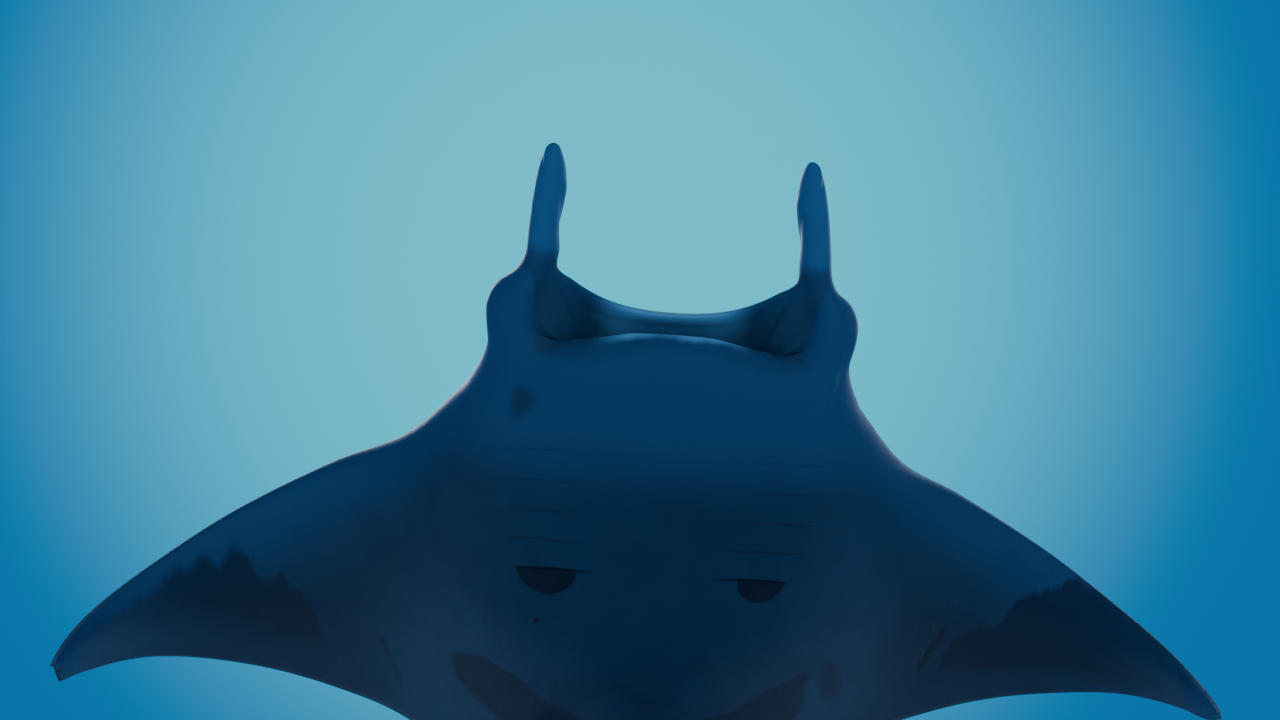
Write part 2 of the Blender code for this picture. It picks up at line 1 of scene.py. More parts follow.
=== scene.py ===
"""Life-size giant oceanic manta ray: one skin over the flesh, two eyes, and all finishes.

The skin is worked out laid flat, in wingspans: s sideways from the midline, a aft
from just ahead of the snout, h up towards the back.  Patches of the disc are joined
with the rolled head fins, the tail and the small fins into one closed surface, which
gets its relief (gill slits, eyelids, lips) and is then bent into its swimming pose.
World frame: metres, +Z up, the snout towards -Y, the ray's left side towards +X.
"""

import logging
import math
from contextlib import contextmanager
from dataclasses import dataclass, field, replace
from enum import Enum
from typing import Iterator, Optional, Sequence, Union

import bmesh
import bpy
import numpy as np
from mathutils import Matrix, Vector


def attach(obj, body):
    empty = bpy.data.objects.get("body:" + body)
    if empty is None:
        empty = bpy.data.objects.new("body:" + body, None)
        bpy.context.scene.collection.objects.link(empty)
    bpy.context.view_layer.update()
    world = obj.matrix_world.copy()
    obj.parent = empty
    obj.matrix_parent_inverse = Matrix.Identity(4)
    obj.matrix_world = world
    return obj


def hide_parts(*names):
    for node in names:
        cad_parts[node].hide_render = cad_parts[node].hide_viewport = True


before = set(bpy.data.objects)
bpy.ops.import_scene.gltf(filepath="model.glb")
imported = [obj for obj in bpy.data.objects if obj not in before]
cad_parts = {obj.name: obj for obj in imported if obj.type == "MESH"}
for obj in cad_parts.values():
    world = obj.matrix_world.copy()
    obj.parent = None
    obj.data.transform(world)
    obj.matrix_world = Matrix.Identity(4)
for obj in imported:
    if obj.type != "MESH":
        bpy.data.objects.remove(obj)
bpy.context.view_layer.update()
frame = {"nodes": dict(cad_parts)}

LOG = logging.getLogger("manta")
Array = np.ndarray
Pair = tuple[float, float]
Triple = tuple[float, float, float]
Row = tuple[float, ...]

SPAN = 4.5                       # metres from wing tip to wing tip, laid flat
PITCH = math.radians(50)         # nose up
ORIGIN = (0.0, -0.75, 2.15)      # body origin in the world
EDGE = 0.0005                    # half thickness of the thinnest fin edge, wingspans
FINE_STEPS = 1200                # steps in which the slope of a wing or tail is summed
BLOCK = 2000                     # points whose distances are worked out at a time
SHIFT = 0.1                      # added to a, so that the shader's curves start above 0


class Side(Enum):
    """The two sides of the animal; the value is the sign of x."""

    LEFT = 1
    RIGHT = -1


class Face(Enum):
    """The two faces of the disc; the value is the sign of h."""

    BACK = 1
    BELLY = -1


# ------------------------------------------------------------------ curves
def through(x: Array, xs: Sequence[float], ys: Sequence[float]) -> Array:
    """Smooth curve through stations: a cubic Hermite with centred slopes.

    Args:
        x: where the curve is wanted; held at the end stations beyond them.
        xs: stations, rising.
        ys: heights at the stations.

    Returns:
        The curve's height at every x.
    """
    xs, ys = np.asarray(xs, float), np.asarray(ys, float)
    slope = np.gradient(ys, xs)
    x = np.clip(np.asarray(x, float), xs[0], xs[-1])
    k = np.clip(np.searchsorted(xs, x) - 1, 0, len(xs) - 2)
    w = xs[k + 1] - xs[k]
    t = (x - xs[k]) / w
    return ((1 + 2 * t) * (1 - t) ** 2 * ys[k] + t * (1 - t) ** 2 * w * slope[k]
            + t * t * (3 - 2 * t) * ys[k + 1] + t * t * (t - 1) * w * slope[k + 1])


def ease(x: Array, low: float, high: float) -> Array:
    """Smooth step from 0 at low to 1 at high: three t squared less two t cubed."""
    t = np.clip((np.asarray(x, float) - low) / (high - low), 0, 1)
    return t * t * (3 - 2 * t)


def bell(x: Array, middle: float, width: float) -> Array:
    """Gaussian of height 1 around middle."""
    return np.exp(-((x - middle) / width) ** 2)


def at_knots(x: Array, points: Sequence[Pair]) -> Array:
    """Height at x of the straight line from point (x, height) to point."""
    return np.interp(x, *np.array(points, float).T)


def by_length(points: Sequence[Pair], t: Array, samples: int = 40) -> Array:
    """Points at the fractions t of the length of a smooth line through points."""
    line = np.asarray(points, float)
    knots = np.arange(len(line))
    fine = np.linspace(0, knots[-1], samples * len(line))
    dense = np.stack([through(fine, knots, c) for c in line.T], -1)
    steps = np.linalg.norm(np.diff(dense, axis=0), axis=1)
    length = running_sum(steps) / steps.sum()
    return np.stack([np.interp(t, length, c) for c in dense.T], -1)


def running_sum(steps: Array) -> Array:
    """Sums of the steps up to each of them, from 0."""
    return np.concatenate([[0], np.cumsum(steps)])


def crowd(t: Array, share: float = 0.3) -> Array:
    """Fractions from the midline to the rim, closer together near the rim."""
    return t * (1 + share - share * t * t)


def once_round(count: int) -> Array:
    """Angles once round in equal parts, as a row."""
    return np.linspace(0, 2 * np.pi, count + 1)[None, :]


def fan(line: Array, centre: Array) -> Array:
    """Patch of triangles from a line of points to one point."""
    return np.stack([line, np.broadcast_to(centre, line.shape)])


def tube(x: Array, y: Array, z: Array, ends: bool = True) -> list[Array]:
    """Grid of closed rings, and if it has ends a fan over the first and last ring."""
    grid = np.stack(np.broadcast_arrays(x, y, z), -1)
    grid[:, -1] = grid[:, 0]
    return [grid] + [fan(grid[k], grid[k, :-1].mean(0)) for k in (0, -1) if ends]


def foot_on(plan: Array, line: Array) -> tuple[Array, Array]:
    """Distance from each point of a plan to a polyline, and the foot on that line."""
    start, step = line[:-1], np.diff(line, axis=0)
    offset = plan[..., None, :] - start
    u = np.clip((offset * step).sum(-1) / (step ** 2).sum(-1), 0, 1)
    foot = start + step * u[..., None]
    gap = np.linalg.norm(plan[..., None, :] - foot, axis=-1)
    best = gap.argmin(-1)[..., None]
    return (np.take_along_axis(gap, best, -1)[..., 0],
            np.take_along_axis(foot, best[..., None], -2)[..., 0, :])


# ------------------------------------------------------------------ the disc, laid flat
@dataclass(frozen=True)
class Outline:
    """Outline of one half of the disc as (s, a) stations, in wingspans."""

    front_rim: tuple[Pair, ...] = (
        (0.086, -0.010), (0.094, -0.014), (0.103, -0.012), (0.1115, -0.005),
        (0.120, 0.003), (0.126, 0.012), (0.129, 0.022), (0.129, 0.032),
        (0.1285, 0.043), (0.1285, 0.053), (0.133, 0.067), (0.142, 0.085))
    chin: tuple[Pair, ...] = (
        (0.0, 0.030), (0.03, 0.032), (0.052, 0.038), (0.072, 0.043), (0.086, 0.043),
        (0.0945, 0.035), (0.0970, 0.020), (0.0945, 0.004), (0.086, -0.010))
    lip_a: float = 0.022
    lip_power: float = 2.5
    neck_a: float = 0.102
    loin_a: float = 0.415
    rear_a: float = 0.446
    leading_s: Row = (0.142, 0.18, 0.24, 0.31, 0.38, 0.44, 0.48, 0.50)
    leading_a: Row = (0.085, 0.128, 0.162, 0.200, 0.2355, 0.254, 0.261, 0.263)
    trailing_s: Row = (0.018, 0.03, 0.06, 0.12, 0.18, 0.24, 0.31, 0.38, 0.44, 0.48, 0.50)
    trailing_a: Row = (0.442, 0.438, 0.429, 0.404, 0.372, 0.352, 0.3295, 0.306, 0.290, 0.276,
                       0.263)

    @property
    def root_s(self) -> float:
        """Station at which the trunk ends and the wing begins."""
        return self.front_rim[-1][0]

    def upper_lip(self, t: Array) -> Array:
        """Concave front edge between the head fins, rising with a power of s."""
        corner_s, corner_a = self.front_rim[0]
        s = corner_s * crowd(t)
        rise = (s / corner_s) ** self.lip_power
        return np.stack([s, self.lip_a - (self.lip_a - corner_a) * rise], -1)

    def lower_lip(self, t: Array) -> Array:
        """Edge of the chin and cheek, forward to the same front corner."""
        return by_length(self.chin, t)

    def leading(self, s: Array) -> Array:
        """Front edge of the wing at the stations s."""
        return np.stack([s, through(s, self.leading_s, self.leading_a)], -1)

    def trailing(self, s: Array) -> Array:
        """Rear edge of the wing and trunk at the stations s."""
        return np.stack([s, through(s, self.trailing_s, self.trailing_a)], -1)


@dataclass(frozen=True)
class Fineness:
    """How many strips each patch of the skin has."""

    head: int = 60
    trunk: int = 66
    rear: int = 14
    columns: int = 46
    wing: int = 60
    mouth: int = 22


@dataclass(frozen=True)
class Depth:
    """Half thickness of the disc over its plan, in wingspans."""

    outline: Outline = Outline()
    spine_a: Row = (-0.02, 0.0, 0.02, 0.035, 0.055, 0.085, 0.13, 0.20, 0.28, 0.36, 0.42,
                    0.447)
    back: Row = (0.0045, 0.005, 0.0085, 0.0165, 0.028, 0.040, 0.050, 0.055, 0.048, 0.034,
                 0.022, 0.015)
    belly: Row = (0.024, 0.027, 0.0315, 0.037, 0.043, 0.049, 0.054, 0.056, 0.048, 0.033,
                  0.020, 0.013)
    wing_h: float = 0.022                  # at the wing's root
    wing_fall: Pair = (1.2, 1.1)           # powers with which the wing thins outwards
    tip_h: float = 0.0012                  # what is left at the tip
    trunk_s: float = 0.155                 # where the trunk has sunk into the wing
    lip_radius: float = 0.015
    lip_blend: float = 0.022               # over which the lips grow into the cheeks
    cheek: tuple[Pair, ...] = (            # radius of the front rim against a
        (-0.014, 0.022), (0, 0.030), (0.03, 0.040), (0.06, 0.040), (0.09, 0.045),
        (0.12, 0.050))
    wing_radius: Pair = (0.38, 0.003)      # most of it on the wing: share of chord, and more
    nose_power: float = 2.2
    taper: tuple[Pair, ...] = (            # length of the rear wedge against s
        (0.018, 0.10), (0.06, 0.16), (0.12, 0.22), (0.2, 0.19), (0.3, 0.12),
        (0.4, 0.062), (0.48, 0.02), (0.5, 0.006))
    taper_scale: float = 0.75
    wedge_power: float = 1.7
    ridge_h: float = 0.012                 # ahead of the tail
    ridge_s: float = 0.016
    ridge_a: Pair = (0.33, 0.44)
    lip_sink_a: Pair = (0.02, 0.075)       # over which the lips' height dies out
    lip_sink_h: float = 0.03
    samples: tuple[int, int, int] = (60, 120, 160)      # on a lip, a front and a rear edge

    def lip(self, face: Face, t: Array) -> Array:
        """Edge of the lip that bounds a face of the disc at the front."""
        shape = self.outline
        return shape.upper_lip(t) if face is Face.BACK else shape.lower_lip(t)

    def nose(self, plan: Array, face: Face) -> Array:
        """Rise from 0 at the front rim to 1, as a superellipse with the rim's radius."""
        shape = self.outline
        fine = np.linspace(0, 1, self.samples[0])
        lips = self.lip(face, fine)
        wing = shape.leading(np.linspace(shape.root_s, 0.5, self.samples[1]))
        front = np.concatenate([lips, by_length(shape.front_rim, fine)[1:], wing[1:]])
        gap, foot = foot_on(plan, front)
        lip_gap, _ = foot_on(plan, lips)
        chord = (through(foot[..., 0], shape.trailing_s, shape.trailing_a)
                 - through(foot[..., 0], shape.leading_s, shape.leading_a))
        cheek = at_knots(foot[..., 1], self.cheek)
        share, more = self.wing_radius
        radius = np.where(foot[..., 0] > shape.root_s,
                          np.minimum(cheek, share * chord + more), cheek)
        grown = ease(lip_gap - gap, 0.0, self.lip_blend)
        radius = self.lip_radius + (radius - self.lip_radius) * grown
        power = self.nose_power
        return (1 - (1 - np.clip(gap / radius, 0, 1)) ** power) ** (1 / power)

    def wedge(self, plan: Array) -> Array:
        """Rise from 0 at the rear edge to 1 over the length of the taper."""
        s = np.linspace(self.outline.trailing_s[0], 0.5, self.samples[2])
        gap, foot = foot_on(plan, self.outline.trailing(s))
        taper = self.taper_scale * at_knots(foot[..., 0], self.taper)
        return 1 - (1 - np.clip(gap / taper, 0, 1)) ** self.wedge_power

    def at(self, plan: Array, face: Face) -> Array:
        """Half thickness over a plan.

        A blunt nose at the front rim, times a thin wedge at the rear edge, times the
        sum of a wing that thins outwards and a trunk that sinks into it, with a low
        ridge added towards the tail.

        Args:
            plan: points (s, a), any shape of array.
            face: back or belly.

        Returns:
            Half thickness at each point.
        """
        s, a = plan[..., 0], plan[..., 1]
        depths = self.back if face is Face.BACK else self.belly
        inner, outer = self.wing_fall
        wing_h = self.wing_h * np.clip(1 - (s / 0.5) ** inner, 0, 1) ** outer + self.tip_h
        trunk_h = ((through(a, self.spine_a, depths) - self.wing_h)
                   * np.exp(-(s / self.trunk_s) ** 3))
        ridge = self.ridge_h * ease(a, *self.ridge_a) * np.exp(-(s / self.ridge_s) ** 2)
        return (wing_h + trunk_h) * self.nose(plan, face) * self.wedge(plan) + ridge

    def surface(self, plan: Array, face: Face, lip_h: Union[Array, float]) -> Array:
        """Points (s, a, h) of a face over a plan, its lips lowered by lip_h."""
        thick = self.at(plan, face)
        near, far = self.lip_sink_a
        fade = ease(-plan[..., 1], -far, -near) * (1 - np.clip(thick / self.lip_sink_h, 0, 1))
        h = face.value * (thick + EDGE) + lip_h * fade
        return np.concatenate([plan, h[..., None]], -1)


@dataclass(frozen=True)
class Disc:
    """Head, trunk and wings as patches whose borders meet, laid flat."""

    outline: Outline = Outline()
    depth: Depth = Depth()
    fine: Fineness = Fineness()
    spine_power: float = 0.9                   # crowds the head's rings at the lips
    row_power: float = 2.2                     # crowds the wing's rows at the front edge,
    row_share: float = 0.45                    # with this share
    station_power: float = 1.35                # crowds the wing's stations at the tip
    back_lip: tuple[Pair, ...] = (             # height of the lips from middle to corner
        (0, -0.006), (0.5, -0.008), (1, -0.012))
    belly_lip: tuple[Pair, ...] = (
        (0, -0.022), (0.3, -0.023), (0.55, -0.026), (0.75, -0.022), (0.9, -0.014),
        (1, -0.012))
    throat: Triple = (0.058, 0.009, -0.004)    # half width, half height and height
    throat_a: float = 0.070
    pits: Pair = (0.003, 0.001)                # depth of the end of the throat, of the rear
    swell: Pair = (0.011, -0.004)              # of the mouth's roof and floor
    fold_h: float = 0.0007
    folds: int = 9                             # half waves from the throat to the lips
    tips: Pair = (0.5, 0.484)                  # the right tip is worn off
    slant: float = 0.016                       # at a slant, this much less at the rear,
    notch: float = 0.004                       # and has a small notch
    wear_power: int = 12                       # confines the wear to the tip
    notch_at: Pair = (0.45, 0.22)              # share of the chord, and width
    rake: Pair = (-0.0055, 0.0025)             # how far aft each tip lies, left first
    rake_rear: Pair = (0.33, 0.45)             # s over which the rear edge follows it,
    rake_front: Pair = (0.44, 0.50)            # and the front edge

    def across(self, spine_a: float, rim: Array, t: Array) -> Array:
        """One ring across half the body: a parabola from the spine to the side."""
        s = rim[0] * crowd(t)
        return np.stack([s, spine_a + (rim[1] - spine_a) * (s / rim[0]) ** 2], -1)

    def wing_rows(self, s: Array) -> Array:
        """Plan of the wing at stations s, rows closer together at the front edge."""
        share = self.shares[:, None, None]
        return (1 - share) * self.outline.leading(s) + share * self.outline.trailing(s)

    @property
    def shares(self) -> Array:
        """Shares of the chord at which the rows of the wing lie."""
        even = np.linspace(0, 1, self.fine.trunk + 1)
        return self.row_share * even ** self.row_power + (1 - self.row_share) * even

    def trunk_plan(self, face: Face) -> Array:
        """Plan of head, trunk and rear of one side, rings by columns.

        The head is a Coons patch: near and far rings blended along the head, spine
        and rim blended across it, less the blend of the four corners.
        """
        shape, fine = self.outline, self.fine
        t, v = np.linspace(0, 1, fine.columns + 1), np.linspace(0, 1, fine.head + 1)
        near, rim = self.depth.lip(face, t), by_length(shape.front_rim, v)
        far = self.across(shape.neck_a, rim[-1], t)
        spine_a = near[0, 1] + (shape.neck_a - near[0, 1]) * v ** self.spine_power
        spine = np.stack([0 * v, spine_a], -1)
        u, w = t[None, :, None], v[:, None, None]
        corners = ((1 - w) * (1 - u) * near[0] + (1 - w) * u * near[-1]
                   + w * (1 - u) * far[0] + w * u * far[-1])
        head = (1 - w) * near + w * far + (1 - u) * spine[:, None] + u * rim[:, None] - corners

        side = self.wing_rows(np.array([shape.root_s]))[1:, 0]
        back = np.linspace(0, 1, fine.rear + 1)[1:]
        rear = shape.trailing(shape.root_s + (shape.trailing_s[0] - shape.root_s) * back)
        body = np.linspace(0, 1, fine.trunk + 1)[1:]
        spine_a = np.concatenate([shape.neck_a + (shape.loin_a - shape.neck_a) * body,
                                  shape.loin_a + (shape.rear_a - shape.loin_a) * back])
        ends = np.concatenate([side, rear])
        return np.concatenate([head, [self.across(a, end, t) for a, end in zip(spine_a, ends)]])

    def wing_plan(self, side: Side) -> Array:
        """Plan of one wing, its stations closer together towards the tip.

        The worn tip is cut at a slant, with a notch taken out as a Gaussian across the
        chord.
        """
        x, share = np.linspace(0, 1, self.fine.wing + 1)[None], self.shares[:, None]
        tip, worn = self.tips[0], 0.0
        if side is Side.RIGHT:
            tip = self.tips[1]
            worn = self.slant * share + self.notch * bell(share, *self.notch_at)
        root = self.outline.root_s
        return self.wing_rows(root + (tip - root) * (1 - (1 - x) ** self.station_power)
                              - worn * x ** self.wear_power)

    def wing(self, side: Side, face: Face) -> Array:
        """One face of a wing, its tip then drawn aft by the rake.

        The rake starts further in at the rear edge than at the front edge.
        """
        points = self.depth.surface(self.wing_plan(side), face, 0.0)
        s, share = points[..., 0], self.shares[:, None]
        rake = self.rake[0] if side is Side.LEFT else self.rake[1]
        points[..., 1] += rake * (share * ease(s, *self.rake_rear)
                                  + (1 - share) * ease(s, *self.rake_front))
        return points

    def mouth(self, back_lip: Array, belly_lip: Array) -> list[Array]:
        """Roof and floor of half the mouth, straight from an oval throat to the lips.

        A squared sine raises the roof and sinks the floor on the way, so that both
        start level at the lips, with low folds across the roof and floor.
        """
        turn = np.pi / 2 * np.linspace(0, 1, self.fine.columns + 1)
        width, height, middle = self.throat
        w = np.linspace(0, 1, self.fine.mouth + 1)[:, None]
        patches = []
        for lip, way, swell in zip((back_lip, belly_lip), (1, -1), self.swell):
            throat = np.stack([width * np.sin(turn), np.full(len(turn), self.throat_a),
                               middle + way * height * np.cos(turn)], -1)
            sheet = (1 - w[..., None]) * throat + w[..., None] * lip
            folds = self.fold_h * np.sin(self.folds * np.pi * w) * np.sin(np.pi * w)
            sheet[..., 2] += (swell * np.sin(np.pi * w) ** 2 + folds) * np.cos(turn)
            end = np.array([0, self.throat_a + self.pits[0], middle])
            patches += [sheet, fan(throat, end)]
        return patches + [np.stack([patches[0][:, -1], patches[2][:, -1]])]

    def patches(self) -> tuple[list[Array], list[Array]]:
        """All patches of the disc in wingspans, and apart from them those of the mouth."""
        fine = self.fine
        t = np.linspace(0, 1, fine.columns + 1)
        back, belly = (self.depth.surface(self.trunk_plan(face), face, at_knots(t, lip))
                       for face, lip in ((Face.BACK, self.back_lip),
                                         (Face.BELLY, self.belly_lip)))
        root = slice(fine.head, fine.head + fine.trunk + 1)
        outside, inside = [], []
        for side in Side:
            wing_back, wing_belly = self.wing(side, Face.BACK), self.wing(side, Face.BELLY)
            wing_back[:, 0], wing_belly[:, 0] = back[root, -1], belly[root, -1]
            half = [back, belly, wing_back, wing_belly]
            body_rims = [(slice(0, fine.head + 1), -1),
                         (slice(fine.head + fine.trunk, None), -1)]
            half += [np.stack([back[rim], belly[rim]]) for rim in body_rims]
            half += [np.stack([wing_back[rim], wing_belly[rim]])
                     for rim in (0, -1, (slice(None), -1))]
            end = np.concatenate([back[-1], belly[-1, ::-1]])
            half.append(fan(end, np.array([0, self.outline.rear_a + self.pits[1], 0])))
            mirror = np.array([side.value, 1, 1])
            outside += [patch * mirror for patch in half]
            inside += [patch * mirror for patch in self.mouth(back[0], belly[0])]
        return outside, inside


# ------------------------------------------------------------------ fins and tail
@dataclass(frozen=True)
class HeadFin:
    """Head fin rolled up like a horn, with the free edge of the roll winding round it."""

    side: Side
    length_a: Row = (0.030, 0.010, -0.004, -0.016, -0.040, -0.065, -0.080, -0.089, -0.0935,
                     -0.095)
    middle_s: Row = (0.1080, 0.1050, 0.0990, 0.0947, 0.0925, 0.0898, 0.0885, 0.0877, 0.0873,
                     0.0871)
    radius: Row = (0.0040, 0.0090, 0.0112, 0.0113, 0.0106, 0.0100, 0.0085, 0.0058, 0.0034,
                   0.0004)
    crowding: float = 1.25           # of the rings, towards the tip
    reach: float = 0.095             # how far ahead of a = 0 the tip lies
    lean: float = 0.0057             # both fins lean towards the ray's right, from here on
    lean_from: float = 0.35          # share of the reach at which they cross their line
    lean_start: float = 0.016
    ledge: float = 0.34              # height of the free edge, as a share of the radius
    ledge_at: float = 0.955          # share of a turn at which it falls back
    ledge_from: Pair = (0.12, 0.35)  # shares of the reach over which it appears
    start: Triple = (115, 65, 165)   # degrees: the free edge at the root, and two turns
    first_turn: Pair = (0.1, 0.6)
    second_turn: Pair = (0.52, 1.0)
    sink: Pair = (0.006, 0.16)       # how low it lies at the root, and more per length
    tall: float = 0.25               # how much taller than wide it is at the root
    tall_a: Pair = (-0.08, 0.01)
    around: int = 84
    rings: int = 84

    def patches(self) -> list[Array]:
        """Closed loft of oval sections.

        Each section's radius grows evenly once round from the free edge, where it
        falls back in a short smooth step; towards the tip the step turns from above
        to the inner edge and then across the underside.
        """
        knots = np.linspace(0, 1, len(self.length_a))
        u = 1 - (1 - np.linspace(0, 1, self.rings + 1)) ** self.crowding
        a, s, r = (through(u, knots, row)[:, None]
                   for row in (self.length_a, self.middle_s, self.radius))
        turn = once_round(self.around)
        out = np.clip(-a / self.reach, 0, 1)
        root, first, second = self.start
        start = np.radians(root + first * ease(out, *self.first_turn)
                           + second * ease(out, *self.second_turn))
        lap = np.mod(turn - start, 2 * np.pi) / (2 * np.pi)
        roll = lap - ease(lap, self.ledge_at, 1.0)
        size = r * (1 + self.ledge * ease(out, *self.ledge_from) * (roll - 0.5))
        drop = -self.sink[0] - self.sink[1] * np.maximum(0, -a)
        tall = 1.0 + self.tall * ease(a, *self.tall_a)
        lean = self.lean * (self.lean_from - out) * ease(-a, 0.0, self.lean_start)
        return tube(self.side.value * (s + size * np.cos(turn)) + lean, a,
                    drop + tall * size * np.sin(turn))


@dataclass(frozen=True)
class BackFin:
    """Small swept fin just ahead of the tail, in lens-shaped sections."""

    root_a: float = 0.417
    chord: float = 0.050
    least_chord: float = 0.0015
    narrowing: float = 0.25
    tip_power: float = 1.7                # rounds the tip
    root_h: float = 0.010
    height: float = 0.038
    half: Pair = (0.0036, 0.7)            # half thickness, and share of it lost at the tip
    sweep: float = 0.020
    hook: float = 0.012                   # how far the rear of the tip is drawn forward
    rings: int = 26
    around: int = 48

    def patches(self) -> list[Array]:
        """Loft whose chord shrinks to a rounded tip while its middle moves aft."""
        u = np.linspace(0, 1, self.rings + 1)[:, None]
        turn = once_round(self.around)
        chord = (self.chord * np.sqrt(np.clip(1 - u ** self.tip_power, 0, 1))
                 * (1 - self.narrowing * u) + self.least_chord)
        hook = self.hook * u ** 2 * np.cos(turn / 2) ** 2
        return tube(self.half[0] * (1 - self.half[1] * u) * np.sin(turn),
                    self.root_a + self.sweep * u - 0.5 * chord * np.cos(turn) - hook,
                    self.root_h + self.height * u)


@dataclass(frozen=True)
class HipFin:
    """Small rounded fin beside the root of the tail: a flattened, bent ellipsoid."""

    side: Side
    middle: Triple = (0.037, 0.434, -0.0005)
    half: Triple = (0.017, 0.031, 0.0032)
    turned: float = math.radians(14)
    bend: float = 6.0                       # sag per wingspan, squared
    rings: int = 28
    around: int = 40

    def patches(self) -> list[Array]:
        """Ellipsoid in rings from its front pole to its rear pole."""
        pole, turn = np.linspace(0, np.pi, self.rings + 1)[:, None], once_round(self.around)
        x = self.half[0] * np.sin(pole) * np.cos(turn)
        y = -self.half[1] * np.cos(pole)
        h = self.half[2] * np.sin(pole) * np.sin(turn) - self.bend * x * x
        cos, sin = math.cos(self.turned), math.sin(self.turned)
        return tube(self.side.value * (self.middle[0] + x * cos + y * sin),
                    self.middle[1] - x * sin + y * cos, self.middle[2] + h, ends=False)


@dataclass(frozen=True)
class Whip:
    """Thin tail, laid out straight behind the body."""

    start_a: float = 0.401
    length: float = 1.6525          # metres, from its start inside the body
    root: float = 0.062             # radius in metres at its start,
    tip: float = 0.0045             # and at its end
    fall_power: float = 1.6
    crowding: float = 1.15          # of the rings, towards the root
    rounded: Pair = (0.994, 0.02)   # where the tip begins to round off, and what is left
    middle_h: float = 0.001
    knob: Triple = (0.155, 0.035, 0.16)     # swelling on top: place, width and height
    rings: int = 120
    around: int = 32

    def patches(self) -> list[Array]:
        """Loft whose radius falls with a power of the way left to the tip."""
        u = np.linspace(0, 1, self.rings + 1)[:, None] ** self.crowding
        turn = once_round(self.around)
        start, left = self.rounded
        end = np.sqrt(np.clip(1 - ((u - start) / (1 - start)).clip(0) ** 2, left, 1))
        radius = (self.root * (1 - u) ** self.fall_power + self.tip) * end / SPAN
        at, width, height = self.knob
        knob = height * bell(u, at, width) * np.clip(np.sin(turn), 0, 1) ** 2
        return tube(radius * np.cos(turn), self.start_a + self.length / SPAN * u,
                    self.middle_h + radius * (1 + knob) * np.sin(turn))


# ------------------------------------------------------------------ meshes as arrays
def column(rows: bpy.types.bpy_prop_collection, key: str, width: int,
           kind: type = np.float32) -> Array:
    """One property of all vertices or edges of a mesh, (count, width)."""
    flat = np.empty(len(rows) * width, kind)
    rows.foreach_get(key, flat)
    return flat.reshape(-1, width)


def points_of(mesh: bpy.types.Mesh) -> Array:
    """Vertex positions of a mesh, (count, 3)."""
    return column(mesh.vertices, "co", 3).astype(float)


def normals_of(mesh: bpy.types.Mesh) -> Array:
    """Vertex normals of a mesh, (count, 3)."""
    return column(mesh.vertex_normals, "vector", 3).astype(float)


def edges_of(mesh: bpy.types.Mesh) -> Array:
    """Vertex pairs of the edges of a mesh, (count, 2)."""
    return column(mesh.edges, "vertices", 2, np.int32)


def put_points(mesh: bpy.types.Mesh, points: Array) -> None:
    """Moves the vertices of a mesh to new positions."""
    mesh.vertices.foreach_set("co", points.astype(np.float32).ravel())
    mesh.update()


def put_value(mesh: bpy.types.Mesh, name: str, values: Array) -> None:
    """Stores one number, or one vector, at each vertex under a name."""
    kind, key = ("FLOAT", "value") if values.ndim == 1 else ("FLOAT_VECTOR", "vector")
    layer = mesh.attributes.get(name) or mesh.attributes.new(name, kind, "POINT")
    layer.data.foreach_set(key, values.astype(np.float32).ravel())


def value_of(mesh: bpy.types.Mesh, name: str) -> Array:
    """The numbers stored at the vertices under a name."""
    return column(mesh.attributes[name].data, "value", 1)[:, 0].astype(float)


def linked(name: str, data: bpy.types.ID) -> bpy.types.Object:
    """New object with its data, linked to the scene."""
    obj = bpy.data.objects.new(name, data)
    bpy.context.scene.collection.objects.link(obj)
    return obj


@contextmanager
def editing(mesh: bpy.types.Mesh) -> Iterator[bmesh.types.BMesh]:
    """The mesh opened for editing, and written back at the end."""
    bm = bmesh.new()
    bm.from_mesh(mesh)
    yield bm
    bm.to_mesh(mesh)
    bm.free()


def weld(name: str, patches: Sequence[Array], scale: float = 1.0,
         marked: Sequence[Array] = (), merge: float = 0.0001) -> bpy.types.Object:
    """Closed surface from grids whose borders meet.

    Args:
        name: name of the object.
        patches: grids of points (rows, columns, 3).
        scale: factor from the grids' unit to metres.
        marked: further grids, whose vertices get 1 in the value "mouth", apart from
            those on the lips; all others get 0.
        merge: distance in metres within which vertices become one.

    Returns:
        The object, linked to the scene, its doubles merged and faces outward.
    """
    verts, faces, mark, count = [], [], [], 0
    for k, grid in enumerate(list(patches) + list(marked)):
        rows, columns = grid.shape[:2]
        index = np.arange(rows * columns).reshape(rows, columns) + count
        count += rows * columns
        verts.append(grid.reshape(-1, 3) * scale)
        faces.append(np.stack([index[:-1, :-1], index[:-1, 1:], index[1:, 1:],
                               index[1:, :-1]], -1).reshape(-1, 4))
        inner = np.zeros((rows, columns))
        inner[:-1 if rows > 2 else None] = float(k >= len(patches))
        if rows == 2:
            inner[:, -1] = 0
        mark.append(inner.ravel())
    mesh = bpy.data.meshes.new(name)
    mesh.from_pydata(np.concatenate(verts), [], np.concatenate(faces).tolist())
    put_value(mesh, "mouth", np.concatenate(mark))
    with editing(mesh) as bm:
        bmesh.ops.remove_doubles(bm, verts=bm.verts, dist=merge)
        bmesh.ops.recalc_face_normals(bm, faces=bm.faces)
    return linked(name, mesh)


def refine(mesh: bpy.types.Mesh, chosen: Array, cuts: int) -> None:
    """Cuts the edges between chosen vertices into shorter ones, faces with them."""
    inside = np.nonzero(chosen[edges_of(mesh)].all(1))[0]
    with editing(mesh) as bm:
        bm.edges.ensure_lookup_table()
        bmesh.ops.subdivide_edges(bm, edges=[bm.edges[k] for k in inside], cuts=cuts,
                                  use_grid_fill=True)


